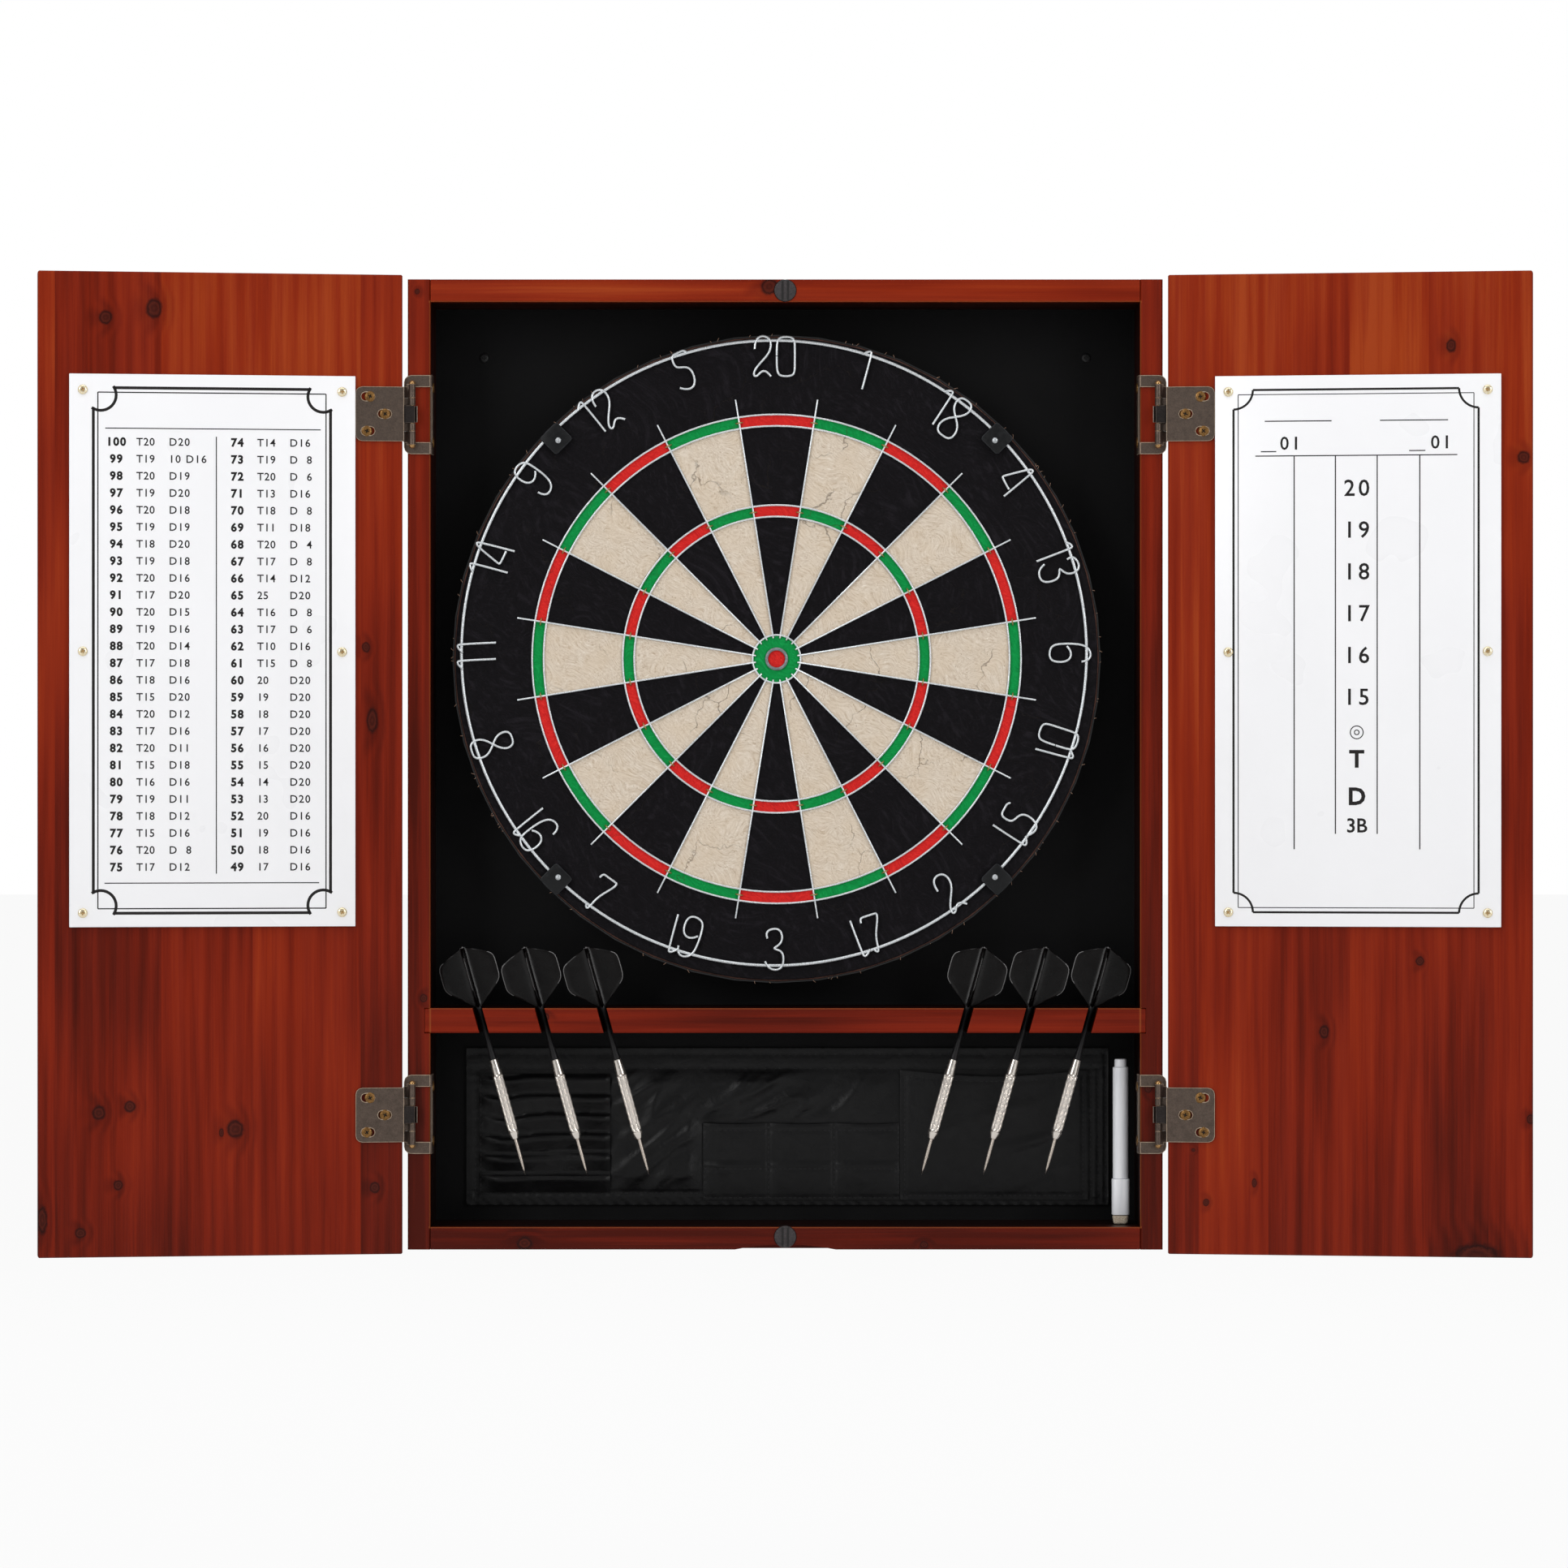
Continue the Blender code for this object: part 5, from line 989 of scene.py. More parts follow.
def flaked(name, colour, matt, metallic, size, tones=(), gloss=(), depth=0.0):
    # a finish of flat cells of size mm, each with a tone or gloss of its own
    material, add, shader = newMaterial(name, colour, matt, metallic)
    inputs = {"Vector": add("TexCoord", out=3), "Scale": 1 / (size * mm)}
    pick = add("SeparateColor", (add("TexVoronoi", inputs, out=1),))
    if tones:
        add("ValToRGB", (pick,), ramp=tones, to=shader["Base Color"])
        add("Bump", {"Height": pick, "Distance": depth * mm}, to=shader["Normal"])
    if gloss:
        add("MapRange", (pick, 0.0, 1.0, *gloss), to=shader["Roughness"], **eased)
    return material


# Pressed chipboard: pale flakes and dark ones in random lie.
chipboard = flaked(
    "chipboard", "#a3835a", 0.8, 0.0, 3.5, [(0.1, "#7d5f3c"), (0.5, "#a5855c"), (0.9, "#c3a67c")], depth=0.1,
)
# Pressed steel, bright zinc plated: cool grey with a soft spangle.
zinc = flaked("zincPlatedSteel", "#a9adb0", 0.35, 1.0, 4, gloss=(0.28, 0.42))
# Rolled steel strip round the board, sprayed satin black.
paintedBand = mottled(
    "paintedSteelBand", "#121213", 0.2, 3, {"Detail": 3.0}, long=(1, 6, 1), gloss=(0.36, 0.52), bright=0.75,
)
galvanised = galvanisedWire("galvanisedWire", "#cdd4d8", "#f1f4f6")
bandMetal = galvanisedWire("dullZincBand", "#6e7477", "#8f9699", 0.12)
rivetMetal = galvanisedWire("aluminiumRivet", "#9ea3a6", "#c6cacd", 0.1)
stapleMetal = newMaterial("stapleBrass", "#a8925f", 0.4, 0.8)[0]
clipPlastic = blackPlastic("blackPolypropylene", "#0f1012", 0.38)
clipWorn = blackPlastic("scuffedPolypropylene", "#2c2e31", 0.45)
straw = newMaterial("sisalWhisker", "#8d6f5c", 0.8)[0]
for nodeName, material in (
    ("fibre_disc", printedSisal()), ("rim_band", paintedBand), ("board_backing", chipboard),
    ("hanging_screw", zinc), ("wall_bracket", zinc),
):
    dress(nodeName, material)
buildSpider(galvanised, bandMetal, stapleMetal)
buildNumberRing(galvanised)
rivets = bmesh.new()
rivet = spun([(2.05, 0), (1.9, 0.5), (1.2, 1.0), (0, 1.2)], 20, "Y")
for number in range(1, 5):
    nodeName = "ring_clip_%d" % number
    clip = cadCopy(nodeName)
    softenEdges(clip, 0.5 * mm, 3, worn=True)
    makePiece(nodeName + "_moulding", clip, [clipPlastic, clipWorn], "dartboard", [nodeName])
    middle = middleOf(nodeName)
    place = middle + (boardCentre - middle).normalized() * 2.0 * mm
    place.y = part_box(nodeName)[0].y
    addCopy(rivets, rivet, Matrix.Translation(place))
makePiece("ring_clip_rivets", rivets, rivetMetal, "dartboard")

# whiskers of fibre that stand out of the sawn edge
whiskers = []
dice = random.Random(41)
count, start, thin, lengths = board["whiskers"]
for step in range(count):
    angle = dice.uniform(0, 360)
    length = dice.uniform(*lengths) * mm
    slant = math.degrees(dice.uniform(-1.0, 1.0) * length / start)
    depth = -dice.uniform(-0.3, 1.2) * mm
    whiskers.append([
        onBoard(angle, start, depth), onBoard(angle + slant * 0.4, start + length * 0.55, depth + 0.2 * mm),
        onBoard(angle + slant, start + length, depth + dice.uniform(-0.4, 0.5) * mm),
    ])
makePiece("rim_whiskers", wires(whiskers, thin, sides=0, smoothness=2), straw, "dartboard")
print("dartboard done")


# hinges: wrap-round cabinet hinges with slotted door leaves

hinge = {
    "edge": 0.52 * mm,         # worn rounding of the leaves, and of the tongue and the shade plate
    "tongueEdge": 0.25 * mm,
    "rim": 0.3 * mm,           # worn border of the faces above this area
    "broad": 40 * mm * mm,
    "face": 3.4 * mm,          # outer face of a door leaf, off the pin
    "farEnd": 39.3 * mm,
    # screws in the door leaf's slots: in from its far end, up, along the slot
    "slots": ((8.5 * mm, 11.9 * mm, -1.4 * mm), (8.5 * mm, -11.9 * mm, 0.8 * mm), (20 * mm, 0.0, -0.3 * mm)),
    "slot": (1.7 * mm, 3.1 * mm, 0.3 * mm),      # half the straight, end radius, rim wire
    "sunk": 0.3 * mm,          # screw heads, below the leaf's face
    "flange": (244.0 * mm, -68.5 * mm, 18.8 * mm),         # screws through the frame leaf
    # in mm: bore, outside and worn end of a knuckle; where the knuckles of a leaf start and end
    "curl": (1.5, 2.37, 0.25), "frame_leaf": (11.55, 20.8), "door_leaf": (6.35, 11.25),
    # domed end of a pin: radius and height in mm
    "dome": [(0, 23.5), (1.035, 23.35), (1.886, 22.7), (2.3, 21.8), (2.3, 21.1), (1.2, 21.1)],
    # sprung tongue bent round the pin, then a dark plate behind the knuckles that stands in for the shaded
    # wrap of the door leaf, as painted shade:
    # bars from one x and y to another, and half their height, in mm
    "tongueAndShadePlate": [(-5.7, -1.0, -1.4, 1.6, 6.0), (-5.7, -2.5, 1.9, -1.5, 6.0),
               (-6.2, 2.75, -5.85, 3.45, 19.0), (-5.85, 2.75, -1.5, 3.45, 11.5)],
}


def antiqueBronze(name, dark, pale, roughness, metallic=0.8):
    # Steel in an antique bronze dip: brown-grey cloudy metal, rubbed pale on its edges.
    material, add, shader = newMaterial(name, dark, roughness, metallic)
    place = add("TexCoord", out=3)
    cloud = add("TexNoise", {"Vector": place, "Scale": 1 / (5 * mm), "Detail": 4.0, "Roughness": 0.6})
    speck = add("TexNoise", {"Vector": place, "Scale": 1 / (0.9 * mm)})
    both = add("Mix", {0: 0.45, 2: cloud, 3: speck})
    add("ValToRGB", (both,), ramp=[(0.34, dark), (0.68, pale)], to=shader["Base Color"])
    add("MapRange", (cloud, 0.3, 0.7, roughness + 0.08, roughness - 0.06), to=shader["Roughness"])
    add("Bump", {"Height": speck, "Distance": 0.02 * mm, "Strength": 0.6}, to=shader["Normal"])
    return material


def wearRims(bm):
    # a narrow worn border round the broad faces
    broad = [face for face in bm.faces if face.calc_area() > hinge["broad"]]
    made = bmesh.ops.inset_region(
        bm, faces=broad, thickness=hinge["rim"], use_boundary=True, use_even_offset=True,
    )
    for face in made["faces"]:
        face.material_index = 1


def addKnuckles(bm, low, high):
    # smooth barrels over the rolled sheet, above and below the middle
    bore, outside, ease = hinge["curl"]
    curl = spun([
        (bore, low), (outside - ease, low), (outside, low + ease), (outside, high - ease),
        (outside - ease, high), (bore, high), (bore, low),
    ], 28)
    for face in curl.faces:
        height = face.calc_center_median().z / mm
        face.material_index = 1 if min(height - low, high - height) < ease else 0
    addCopy(bm, curl)
    addCopy(bm, curl, turned(180, "X"), last=True)


def slotRim(place):
    # path of a slot's rim in the plane of the leaf
    half, radius = hinge["slot"][:2]
    path = []
    for step in range(24):
        angle = (step + 0.5) * math.tau / 24
        across = math.cos(angle) * radius + math.copysign(half, math.cos(angle))
        path.append(place @ Vector((across, 0, math.sin(angle) * radius)))
    return path


bronzeEdge = antiqueBronze("antiqueBronzeWornEdge", "#96826d", "#bda993", 0.36, 0.4)
bronze = [antiqueBronze("antiqueBronzePlate", "#4d423b", "#6b5d53", 0.42), bronzeEdge]
spring = [
    antiqueBronze("bluedSpringSteel", "#262221", "#3d3735", 0.36),
    antiqueBronze("bluedSpringEdge", "#5d5046", "#83746a", 0.4, 0.6),
]
sides = ((-1, "left"), (1, "right"))
slotPaths = {-1: [], 1: []}
slotHeads = {-1: bmesh.new(), 1: bmesh.new()}
flangeHeads = bmesh.new()
dice = random.Random(23)
for side, sideName in sides:
    door = doorMatrix(side)
    for level in ("upper", "lower"):
        prefix = sideName + "_" + level + "_"
        centre = middleOf(prefix + "hinge_pin")
        place = Matrix.Translation(centre)
        for part, body, metals in (
            ("frame_leaf", "cabinet", bronze), ("door_leaf", sideName + "_door", bronze),
            ("closer_spring", "cabinet", spring),
        ):
            leaf = cadCopy(prefix + part)
            softenEdges(leaf, hinge["edge"], worn=True)
            if part in hinge:
                wearRims(leaf)
                leaf.transform(place.inverted())
                addKnuckles(leaf, *hinge[part])
                leaf.transform(place)
            makePiece(prefix + part + "_pressing", leaf, metals, body, [prefix + part],
                      smooth=30, flat=True)
        pin = spun(hinge["dome"] + [(radius, -height) for radius, height in reversed(hinge["dome"])], 20)
        makePiece(prefix + "domed_pin", pin, agedBrass, "cabinet", [prefix + "hinge_pin"],
                  matrix=place)
        # the tongue, and a dark plate behind the knuckles as painted shade
        tongueAndShadePlate = bmesh.new()
        for left, front, right, back, half in hinge["tongueAndShadePlate"]:
            addBar(tongueAndShadePlate, (left, front, -half), (right, back, half))
        softenEdges(tongueAndShadePlate, hinge["tongueEdge"], worn=True)
        tongueAndShadePlate.transform(Matrix.Diagonal((-side, 1, 1, 1)))
        bmesh.ops.recalc_face_normals(tongueAndShadePlate, faces=tongueAndShadePlate.faces)
        makePiece(prefix + "spring_tongue_and_shade_plate", tongueAndShadePlate, spring, "cabinet", smooth=30,
                  matrix=place, flat=True)
        for inward, upward, slack in hinge["slots"]:
            across, height = -side * (hinge["farEnd"] - inward), centre.z + upward
            slotPaths[side].append(slotRim(door @ Matrix.Translation((across, hinge["face"], height))))
            sunk = Matrix.Translation((across - side * slack, hinge["face"] - hinge["sunk"], height))
            driven = turned(dice.uniform(0, 360), "Z")
            addCopy(slotHeads[side], flatHead, door @ sunk @ turned(-90, "X") @ driven)
        x, y, z = hinge["flange"]
        for upward in (-z, z):
            place = Matrix.Translation((side * x, y, centre.z + upward))
            addCopy(flangeHeads, flatHead, place @ turned(-90 * side, "Y"))
for side, sideName in sides:
    body = sideName + "_door"
    rims = wires(slotPaths[side], hinge["slot"][2], sides=1, closed=True, kind="POLY")
    makePiece(sideName + "_slot_rims", rims, bronzeEdge, body, smooth=60)
    makePiece(sideName + "_leaf_screws", slotHeads[side], [browned, steelRecessShade], body, smooth=50)
makePiece("flange_screws", flangeHeads, [browned, steelRecessShade], "cabinet", smooth=50)


# magnets: ferrite discs with two steel poles let into the face

magnet = {
    # in mm: radius and height of a disc; a pole's edges across, which stand a little proud of the
    # disc, and its half height
    "disc": [(0, 0), (7.55, 0), (7.55, 4.3), (7.35, 4.8), (6.85, 5.0), (0, 5.0)],
    "poles": ((-2.6, -1.2), (1.2, 2.6)), "pole": (-5.15, -4.5, 6.6),
}
# Sintered ferrite: matt charcoal ceramic, faintly gritty.
ferrite = mottled(
    "sinteredFerrite", "#353132", size=1.2, spots={"Detail": 3.0}, tones=[(0.3, "#2b2728"), (0.7, "#3f3a3b")],
    gloss=0.6, relief=(1.2, 0.06, 1.0), Specular_IOR_Level=0.3,
)
poleSteel = newMaterial("blackenedPoleSteel", "#1c1919", 0.5, 0.3)[0]
for nodeName in ("upper_magnet", "lower_magnet"):
    disc = spun(magnet["disc"], 48, "Y")
    front, back, half = magnet["pole"]
    for left, right in magnet["poles"]:
        pole = addBar(disc, (left, front, -half), (right, back, half))
        for face in pole[0].link_faces[:] + pole[-1].link_faces[:]:
            face.material_index = 1
    bmesh.ops.recalc_face_normals(disc, faces=disc.faces)
    place = middleOf(nodeName)
    place.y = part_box(nodeName)[1].y
    makePiece(nodeName + "_disc", disc, [ferrite, poleSteel], "cabinet", [nodeName],
              matrix=Matrix.Translation(place))


# screws through the back sheet into the wall
wallScrews = {"across": (-211.5 * mm, 211.5 * mm), "up": (285.95 * mm, -134.65 * mm)}
blackScrew = newMaterial("blackPhosphatedSteel", "#141415", 0.55, 0.3)[0]
heads = bmesh.new()
for x in wallScrews["across"]:
    for z in wallScrews["up"]:
        place = Matrix.Translation((x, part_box("back_panel")[0].y, z))
        addCopy(heads, panHead, place @ turned(90, "X"))
makePiece("wall_screws", heads, [blackScrew, blackScrew], "cabinet", smooth=50)
print("hinges, magnets and screws done")


# darts: knurled nickel barrels, waisted shafts, folded film flights

dart = {
    "lean": 15.5,              # degrees
    "hang": -37.8 * mm,        # rear of the barrel, below the shelf's top
    "flightLift": -0.8 * mm,
    # radius and height in mm of the barrel's rear and of its nose and point
    "rear": [(0, 0), (2.75, 0), (2.9, -0.2), (3.62, -10.6)],
    "nose": [(3.45, -51.8), (3.78, -52.1), (3.78, -52.8), (2.35, -56.9), (2.2, -57.0), (1.2, -57.0),
             (1.2, -70.25), (0.75, -78.2), (0, -83.5)],
    # knurl: outer radius, depth, start, rows, pitch along the barrel, cuts around it
    "knurl": (3.8, 0.28, -10.9, 61, 0.66, 36), "swell": 0.16,
    # slim waisted shaft that ends in a point between the wings
    "shaft": [(0, 0.05), (2.6, 0.05), (2.62, 0.9), (2.2, 6), (1.78, 13), (1.62, 19), (1.74, 27), (2.0, 35),
              (2.05, 37), (1.7, 40.5), (0.9, 45), (0, 49.5)],
    "fold": 1.25 * mm, "rim": 0.45 * mm, "columns": 9,
    # height up the flight and half width there, in mm
    "wing": [(0.0, 1.2), (6.0, 7.9), (13.5, 16.3), (15.6, 18.3), (17.6, 19.4), (20.0, 19.9), (26.0, 20.0),
             (31.0, 19.9), (33.4, 19.4), (35.2, 18.3), (36.6, 16.4), (38.2, 13.3), (40.6, 8.2), (43.4, 2.2),
             (44.4, 0.0)],
}


def barrelShape():
    # point and barrel about Z, rear end at 0; the point's faces get the second material
    radius, depth, start, rows, pitch, around = dart["knurl"]
    profile = list(dart["rear"])
    for row in range(rows + 1):
        # cut in passes, so it swells a little
        swell = dart["swell"] * (math.sin(math.tau * row / 7.5) - 1)
        profile.append((radius - depth + swell, start - row * pitch))
    bm = spun(profile + dart["nose"], around)
    raised = set()
    for vert in bm.verts:
        row = (start - vert.co.z / mm) / pitch
        if vert.co.xy.length > 3 * mm and 0.5 < row < rows - 0.5:
            column = round(math.atan2(vert.co.y, vert.co.x) * around / math.tau)
            if (round(row) + column) % 2 == 0:
                vert.co.xy *= 1 + depth * mm / vert.co.xy.length
                raised.add(vert)
    for face in list(bm.faces):
        grooves = [vert for vert in face.verts if vert not in raised]
        if len(face.verts) == 4 and len(grooves) == 2:
            bmesh.utils.face_split(face, grooves[0], grooves[1])
    for face in bm.faces:
        face.material_index = 1 if face.calc_center_median().z < -57.01 * mm else 0
    return bm


def flightShape():
    # four folded sheets make the cross; they meet at the wing edges, in a rim coloured lighter as a painted
    # highlight
    bm = bmesh.new()
    outline, fold, rim, columns = dart["wing"], dart["fold"], dart["rim"], dart["columns"]
    spans = len(outline) - 1
    for quarter in range(4):
        sheet = bmesh.new()
        bmesh.ops.create_grid(sheet, x_segments=2 * columns, y_segments=3 * spans, size=1.0)
        for vert in sheet.verts:
            place = (vert.co.y + 1) / 2 * spans
            index = min(int(place + 1e-6), spans - 1)
            share = place - index
            (z0, w0), (z1, w1) = outline[index], outline[index + 1]
            height, width = (z0 + (z1 - z0) * share) * mm, (w0 + (w1 - w0) * share) * mm
            column = round(abs(vert.co.x) * columns)
            inner = max(0.0, width - rim * math.hypot(1.0, (w1 - w0) / (z1 - z0)))
            out = width if column == columns else inner * (column / (columns - 1)) ** 1.5
            across = max(out, min(fold, width))
            gap = min(0.12 * mm + fold * fold / max(across, fold), width * 0.5) if column < columns else 0.0
            if column == 0:
                across = gap = min(fold, width * 0.5)
            vert.co = (gap, -across, height) if vert.co.x < 0 else (across, -gap, height)
        for face in sheet.faces:
            reach = [vert.co.xy.length for vert in face.verts]
            rimFace = min(abs(vert.co.x * vert.co.y) for vert in face.verts) == 0
            face.material_index = 1 if rimFace and max(reach) - min(reach) < rim * 4 else 0
        addCopy(bm, sheet, turned(90 * quarter, "Z"), last=True)
    bmesh.ops.remove_doubles(bm, verts=bm.verts, dist=5e-6)
    bmesh.ops.recalc_face_normals(bm, faces=bm.faces)
    return bm


def polyesterFilm(name, colour, matt):
    # Polyester film, folded and heat-sealed: smooth, deep black, soft sheen on the folds.
    return mottled(
        name, colour, size=9, spots={"Detail": 1.0}, gloss=(matt - 0.05, matt + 0.05), blend=straight,
        relief=(9, 0.2, 0.4), Specular_IOR_Level=0.28,
    )


# Nickel-plated brass, turned and knurled: bright, faintly warm, crisp facets.
nickel = mottled("nickelPlate", "#e4ddd5", 0.96, 2, {"Detail": 3.0}, gloss=(0.16, 0.28), blend=straight)
# Hardened steel, drawn and polished: duller and browner than the nickel.
pointSteel = mottled("hardenedSteelPoint", "#c9beb3", 0.85, 1.5, gloss=(0.24, 0.38), blend=straight)
# the second film, a lighter grey on the wing rims, is a painted highlight
film = [polyesterFilm("blackPolyesterFilm", "#060404", 0.27), polyesterFilm("filmRimPaintedHighlight", "#6d6c6c", 0.4)]
shaftPlastic = blackPlastic("blackNylonShaft", "#1a1819", 0.42)
shaft = spun(dart["shaft"], 20)
parts = (
    ("barrel_turned", barrelShape(), [nickel, pointSteel], "nickel_plate", dart["hang"]),
    ("shaft_moulded", shaft, shaftPlastic, "black_plastic", dart["hang"]),
    ("flight_moulded", flightShape(), film, "black_plastic", dart["flightLift"]),
)
for number in range(1, 7):
    body = "dart_%d" % number
    low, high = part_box(body + "_barrel")
    side = -1 if number < 4 else 1
    lean = side * math.radians(dart["lean"])
    # the axis is found from the barrel's own box: its tip is its lowest corner
    length = -dart["nose"][-1][1] * mm - dart["hang"]
    x = (low.x if side > 0 else high.x) + math.sin(lean) * length
    place = Matrix.Translation((x, middleOf(body + "_flight").y, low.z + math.cos(lean) * length))
    place = place @ Matrix.Rotation(lean, 4, "Y")
    for part, shape, materials, slot, lift in parts:
        stands = [] if shape is shaft else [body + "_" + part.split("_")[0]]
        makePiece(body + "_" + part, shape.copy(), materials, body, stands, smooth=32,
                  matrix=place @ Matrix.Translation((0, 0, lift)))
print("darts done")


# wallet: black nylon tool roll hung on the back sheet, its layers sewn on

wallet = {
    "cell": 1.7 * mm,          # spacing of the cloth's grid
    "cloth": 0.7 * mm,
    "stitch": (2.6 * mm, 0.9 * mm, 0.22 * mm),     # length, gap and thread radius
    "puckers": 5.2 * mm,
    "seamReach": 7 * mm,       # a seam pulls the cloth this far away
    # how deep each layer lies in front of the back sheet
    "back": 7.6 * mm, "sleeves": 8.7 * mm, "small": 8.9 * mm, "large": 9.3 * mm,
    "thread": 0.7 * mm,        # real threads are 0.25 mm apart; wider ones show
}


def blackNylon():
    # Woven polyamide taffeta, coated behind: black satin, fine weave, grey sheen on folds.
    material, add, shader = newMaterial("blackNylonTaffeta", "#0a0a0b", 0.4, Specular_IOR_Level=0.24)
    place = add("TexCoord", out=3)
    x, y, z = add("SeparateXYZ", (place,)).node.outputs
    threads = []
    for along in (x, z):
        wave = add("Math", (along, math.tau / wallet["thread"]), operation="MULTIPLY")
        threads.append(add("Math", (wave,), operation="SINE"))
    weave = add("Math", threads, operation="MULTIPLY")
    rumple = add("TexNoise", {"Vector": place, "Scale": 1 / (7 * mm), "Detail": 3.0, "Distortion": 0.6})
    height = add("Math", (weave, 0.03, rumple), operation="MULTIPLY_ADD")
    add("Bump", {"Height": height, "Distance": 0.5 * mm, "Strength": 0.7}, to=shader["Normal"])
    add("ValToRGB", (rumple,), ramp=[(0.3, "#060607"), (0.7, "#0b0b0c")], to=shader["Base Color"])
    add("MapRange", (rumple, 0.3, 0.7, 0.42, 0.32), to=shader["Roughness"])
    return material


def clamped(value, low=0.0, high=1.0):
    return min(max(value, low), high)


def seamPull(x, z, seams, slant=0.0):
    # a seam draws the cloth in and gathers it in small puckers beside it
    pull = 0.0
    for number, (x0, z0, x1, z1) in enumerate(seams):
        across, up = x1 - x0, z1 - z0
        length = math.hypot(across, up)
        along = ((x - x0) * across + (z - z0) * up) / length
        near = clamped(along, 0.0, length) / length
        away = math.hypot(x - x0 - across * near, z - z0 - up * near)
        if away > wallet["seamReach"]:
            continue
        wander = noise.noise((along * 60, number * 3.1, 0.0))
        wave = math.sin((along + (z - z0) * slant) * math.tau / wallet["puckers"] + wander * 5)
        pull -= 0.55 * mm * math.exp(-(away / (1.0 * mm)) ** 2)
        pull += 0.34 * mm * (0.6 + 0.8 * wander) * wave * math.exp(-(away / (3.2 * mm)) ** 2)
    return pull


def sewnSheet(name, height, seams):
    # a grid of cloth over the CAD layer's box, pushed out to height(x, z)
    low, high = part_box(name)
    bm = bmesh.new()
    cells = [round((far - near) / wallet["cell"]) for near, far in ((low.x, high.x), (low.z, high.z))]
    bmesh.ops.create_grid(bm, x_segments=cells[0], y_segments=cells[1], size=0.5)
    for vert in bm.verts:
        x = low.x + (vert.co.x + 0.5) * (high.x - low.x)
        z = low.z + (vert.co.y + 0.5) * (high.z - low.z)
        depth, sag = height(x, z)
        vert.co = (x, -depth, z + sag)
    bmesh.ops.recalc_face_normals(bm, faces=bm.faces)
    if bm.faces[:][0].normal.y > 0:
        bmesh.ops.reverse_faces(bm, faces=bm.faces)
    bmesh.ops.solidify(bm, geom=bm.faces[:], thickness=wallet["cloth"])
    bmesh.ops.recalc_face_normals(bm, faces=bm.faces)
    piece = makePiece(name + "_cloth", bm, nylon, "wallet", [name], smooth=80)
    thread = sewSeams(name + "_cloth_stitches", seams, height)


def sewSeams(name, seams, height):
    # thread laid along each seam as short raised stitches
    length, gap, radius = wallet["stitch"]
    stitch = bmesh.new()
    bmesh.ops.create_uvsphere(stitch, u_segments=6, v_segments=4, radius=1.0)
    stitch.transform(Matrix.Diagonal((radius, radius, length / 2, 1)))
    bm = bmesh.new()
    for x0, z0, x1, z1 in seams:
        run = math.hypot(x1 - x0, z1 - z0)
        turn = Matrix.Rotation(math.atan2(x1 - x0, z1 - z0), 4, "Y")
        for number in range(int(run / (length + gap))):
            share = (number + 0.5) * (length + gap) / run
            x, z = x0 + (x1 - x0) * share, z0 + (z1 - z0) * share
            depth, sag = height(x, z)
            addCopy(bm, stitch, Matrix.Translation((x, -depth - radius * 0.5, z + sag)) @ turn)
    stitch.free()
    return makePiece(name, bm, threadBlack, "wallet", smooth=60)


nylon = blackNylon()
threadBlack = newMaterial("polyesterThread", "#19191a", 0.5)[0]
backLow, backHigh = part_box("wallet_back")
sleeveLow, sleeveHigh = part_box("wallet_sleeves")
smallLow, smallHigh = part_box("wallet_small_pockets")
largeLow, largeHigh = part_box("wallet_large_pocket")

left, bottom, right, top = backLow.x, backLow.z, backHigh.x, backHigh.z
backSeams = [(left + 2 * mm, top - drop, right - 2 * mm, top - drop) for drop in (4.2 * mm, 14.3 * mm)]
backSeams += [
    (left + 6.4 * mm, bottom + 2 * mm, left + 6.4 * mm, top - 15 * mm),
    (left + 2 * mm, bottom + 8.2 * mm, left + 166 * mm, bottom + 8.2 * mm),
]
for inward, drop in ((12.2 * mm, 15 * mm), (7.0 * mm, 15 * mm), (1.8 * mm, 4 * mm)):
    backSeams.append((right - inward, bottom + 2 * mm, right - inward, top - drop))


def backHeight(x, z):
    depth = wallet["back"] + seamPull(x, z, backSeams, 0.9)
    # slack satin between the sleeves and the pockets, drawn in folds that rise to the right
    fromLeft, fromTop = x - left, top - z
    slack = clamped((fromLeft - 98 * mm) / (14 * mm)) * clamped((largeLow.x - x) / (60 * mm))
    slack *= clamped((fromTop - 15 * mm) / (9 * mm)) * clamped((z - bottom - 8 * mm) / (12 * mm))
    slack *= clamped(max(smallLow.x - x, z - smallHigh.z) / (10 * mm))
    if slack > 0:
        drift = noise.noise_vector((x * 30, z * 30, 4.0)) * 9 * mm
        across = (z - top + drift.x) * math.cos(0.62) - (x - left + drift.y) * math.sin(0.62)
        along = (z - top) * math.sin(0.62) + (x - left) * math.cos(0.62)
        ridge = (1 - abs(noise.noise((across * 62, along * 13, 9.0)))) ** 2.2
        small = (1 - abs(noise.noise((across * 130, along * 34, 3.0)))) ** 2.5
        broad = noise.noise((x * 16, z * 26, 9.0))
        depth += slack * (3.0 * mm * ridge + 0.5 * mm * small + 1.6 * mm * broad)
    depth += 0.25 * mm * noise.noise((x * 90, z * 90, 2.0))
    if z < bottom + 8 * mm:    # turned-up hem, gathered like rope
        depth += 0.35 * mm * math.sin((x * 0.8 + z) * math.tau / (6.5 * mm)) + 0.3 * mm
    return max(depth, 6.4 * mm), 0.0


sewnSheet("wallet_back", backHeight, backSeams)


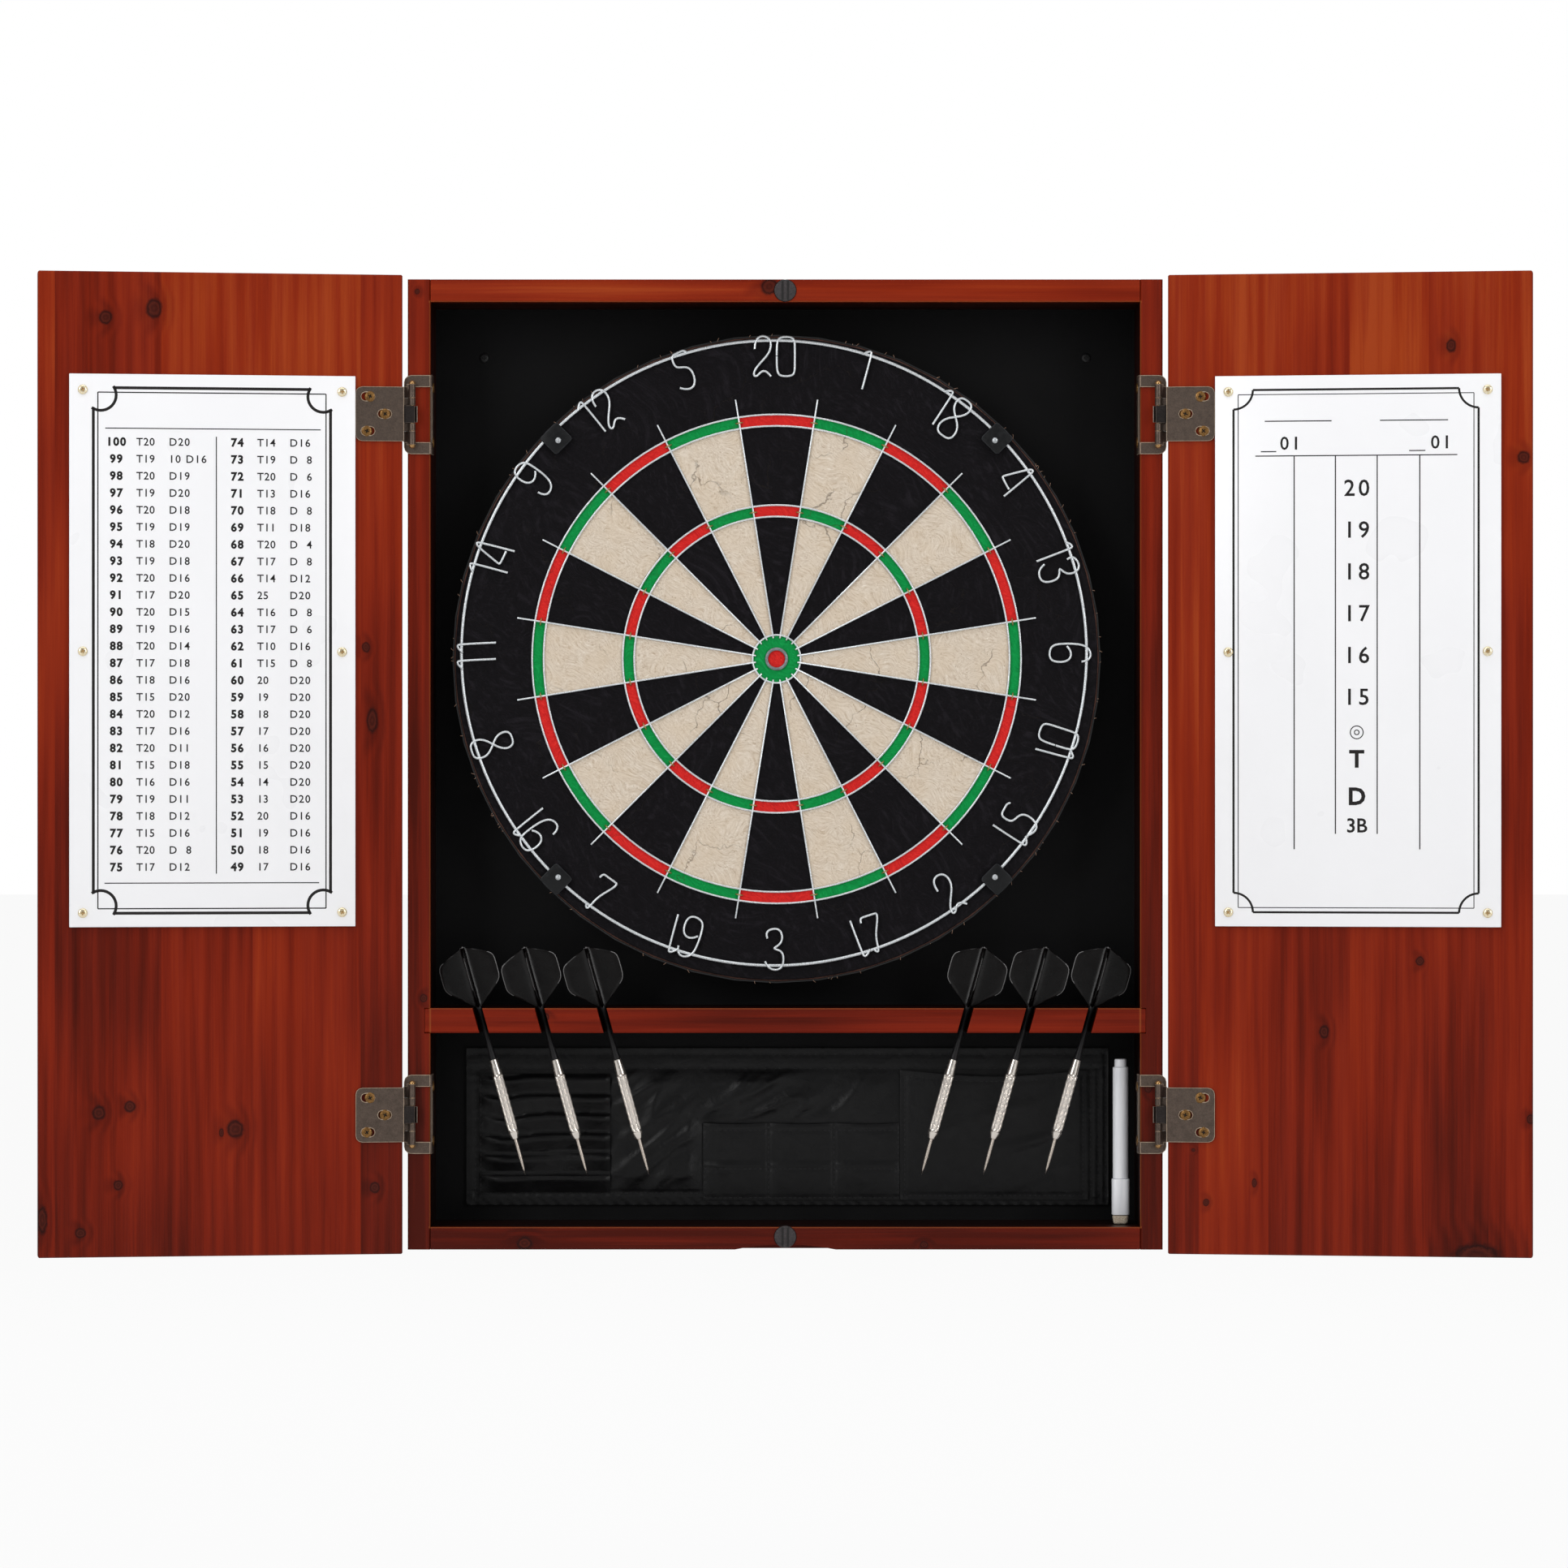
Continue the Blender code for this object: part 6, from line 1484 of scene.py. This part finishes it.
def sleeveHeight(x, z):
    # six pleated sleeves: each strip's upper lip stands out over the one above it
    share = (x - sleeveLow.x) / (sleeveHigh.x - sleeveLow.x)
    # lips droop near the left seam and waver on their way to the right
    lean = noise.noise((x * 19, z * 26, 1.5)) * 2.4 * mm * min(1, share * 4)
    lean += 3.4 * mm * math.exp(-((share - 0.2) / 0.16) ** 2) * (0.5 + noise.noise((0.3, z * 40, 5.0)))
    place = (z + lean - sleeveLow.z) / (sleeveHigh.z - sleeveLow.z) * 6
    strip = clamped(int(place), 0, 5)
    up = clamped(place - strip)
    pinned = clamped(share / 0.16, 0.04) ** 0.7
    swell = 0.75 + 0.5 * noise.noise((x * 21, strip * 4.7, 3.0))
    # each strip swells up to a rounded lip, then dives behind the strip above
    bulge = (up / 0.74) ** 1.1 if up < 0.74 else math.cos((up - 0.74) / 0.26 * 1.25)
    rise = (0.3 + 5.2 * bulge * swell) * pinned * mm
    ends = 1.0 if share < 0.97 else 1.0 - (share - 0.97) / 0.03 * 0.45
    return wallet["sleeves"] + rise * ends + 0.12 * mm * noise.noise((x * 120, z * 120, 0.0)), 0.0


seam = sleeveLow.x + 1.2 * mm
sewnSheet("wallet_sleeves", sleeveHeight, [(seam, sleeveLow.z, seam, sleeveHigh.z)])

# two rows of three flat pockets
cellWide, cellTall = (smallHigh.x - smallLow.x) / 3, (smallHigh.z - smallLow.z) / 2
smallSeams = []
for share in (0.02, 1, 2, 2.98):
    x = smallLow.x + share * cellWide
    smallSeams.append((x, smallLow.z, x, smallHigh.z - 0.5 * mm))
for height in (1.4 * mm, cellTall - 5.2 * mm, 2 * cellTall - 5.2 * mm):
    smallSeams.append((smallLow.x, smallLow.z + height, smallHigh.x, smallLow.z + height))


def smallHeight(x, z):
    column, row = (x - smallLow.x) / cellWide % 1.0, (z - smallLow.z) / cellTall % 1.0
    if z >= smallHigh.z - 0.01 * mm:
        row = 1.0
    bow = math.sin(math.pi * clamped(column))
    room = bow ** 0.6 * row ** 0.8
    lip = 1.0 if row < 0.97 else 0.55
    depth = wallet["small"] + (0.3 + 1.5 * room * lip) * mm + seamPull(x, z, smallSeams, 0.4) * 0.7
    depth += 1.7 * mm * max(0.0, noise.noise((x * 45 + z * 30, z * 60, 6.0))) * room
    return depth, -0.9 * mm * bow if z > smallHigh.z - 3 * mm else 0.0


sewnSheet("wallet_small_pockets", smallHeight, smallSeams)

# one large pocket, sewn on three sides, its mouth sagging open
wide, tall = largeHigh.x - largeLow.x, largeHigh.z - largeLow.z
largeSeams = [
    (x, largeLow.z + 2 * mm, x, largeHigh.z - 2 * mm) for x in (largeLow.x + 3.4 * mm, largeHigh.x - 3.4 * mm)
]
for inward, z in ((2 * mm, largeLow.z + 3.0 * mm), (3 * mm, largeHigh.z - 4.0 * mm)):
    largeSeams.append((largeLow.x + inward, z, largeHigh.x - inward, z))


def largeHeight(x, z):
    across, up = (x - largeLow.x) / wide, (z - largeLow.z) / tall
    bow = math.sin(math.pi * across)
    depth = wallet["large"] + 5.2 * mm * bow ** 0.7 * up ** 1.4
    depth += 1.0 * mm * bow * math.sin(math.pi * up) ** 0.6
    depth += seamPull(x, z, largeSeams, 0.5) * 0.8
    drift = noise.noise((x * 25, z * 25, 8.0)) * 6 * mm
    crease = math.sin(((z - largeLow.z) * 0.9 - (x - largeLow.x) * 0.34 + drift) * math.tau / (26 * mm))
    inside = bow * math.sin(math.pi * min(1, up * 1.1)) if up < 0.9 else 0.0
    depth += 1.3 * mm * max(0.0, crease) ** 2 * inside * (0.6 + noise.noise((x * 20, z * 20, 1.0)))
    return depth, -4.2 * mm * bow ** 1.2 * max(0.0, up - 0.6) / 0.4


sewnSheet("wallet_large_pocket", largeHeight, largeSeams)
print("wallet done")


# marker: dry-wipe pen in a square cap, felt wiper on the cap's end

marker = {
    # radii in mm of the body, its neck, nib and end plug, and the ease of their ends
    "radii": (5.4, 4.8, 1.6, 4.2, 0.9), "plugTall": 5.6,
    "capEase": 0.45 * mm, "feltEase": 1.1 * mm,
    "fuzz": (1.7 * mm, 0.22 * mm),               # size and depth of the felt's uneven edge
}
# Injection-moulded polypropylene: cool white, soft gloss, a trace of flow lines.
markerWhite = mottled(
    "whitePolypropylene", "#f1f2f6", size=2.5, long=(1, 1, 1 / 0.12), gloss=(0.3, 0.42), blend=straight,
    tones=[(0.3, "#ebedf2"), (0.7, "#f6f7fa")],
)
# Pressed wool felt: matt cream, mottled with grey and tan hairs.
feltWool = mottled(
    "pressedFelt", "#cfc0a9", size=0.8, spots={"Detail": 4.0, "Distortion": 1.5}, gloss=0.95,
    tones=[(0.3, "#a08a72"), (0.48, "#cdbda6"), (0.7, "#e9e0d0")], relief=(0.8, 0.4, 1.0),
    Specular_IOR_Level=0.1, Sheen_Weight=0.2,
)
low, high = (corner.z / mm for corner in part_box("marker_pen"))
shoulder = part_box("marker_cap")[1].z / mm + 0.1
body, neck, nib, plug, ease = marker["radii"]
plugLow = high - marker["plugTall"]
neckTall = shoulder - low
pen = spun([
    (0, low), (nib, low + ease), (nib, low + neckTall * 0.27), (nib * 2, low + neckTall * 0.33),
    (neck, low + neckTall * 0.6), (neck, shoulder), (body - 0.4, shoulder), (body, shoulder + 0.4),
    (body, plugLow - 0.5), (body - 0.5, plugLow), (plug, plugLow), (plug, high - ease),
    (plug - 0.25, high - 0.3), (plug - ease, high), (0, high),
], 40)
centre = middleOf("marker_cap")
makePiece("marker_pen_barrel", pen, markerWhite, "marker_pen", ["marker_pen"],
          matrix=Matrix.Translation((centre.x, centre.y, 0)))
cap = cadCopy("marker_cap")
softenEdges(cap, marker["capEase"], 3)
makePiece("marker_cap_shell", cap, markerWhite, "marker_cap", ["marker_cap"])
felt = cadCopy("marker_eraser")
softenEdges(felt, marker["feltEase"], 3)
bmesh.ops.triangulate(felt, faces=felt.faces)
bmesh.ops.subdivide_edges(felt, edges=felt.edges, cuts=3, use_grid_fill=True)
fuzzSize, fuzzDepth = marker["fuzz"]
for vert in felt.verts:
    wobble = noise.noise_vector(vert.co / fuzzSize)
    vert.co += Vector((wobble.x, wobble.y, 0)) * fuzzDepth
makePiece("marker_eraser_felt", felt, feltWool, "marker_cap", ["marker_eraser"], smooth=60)
print("marker done")
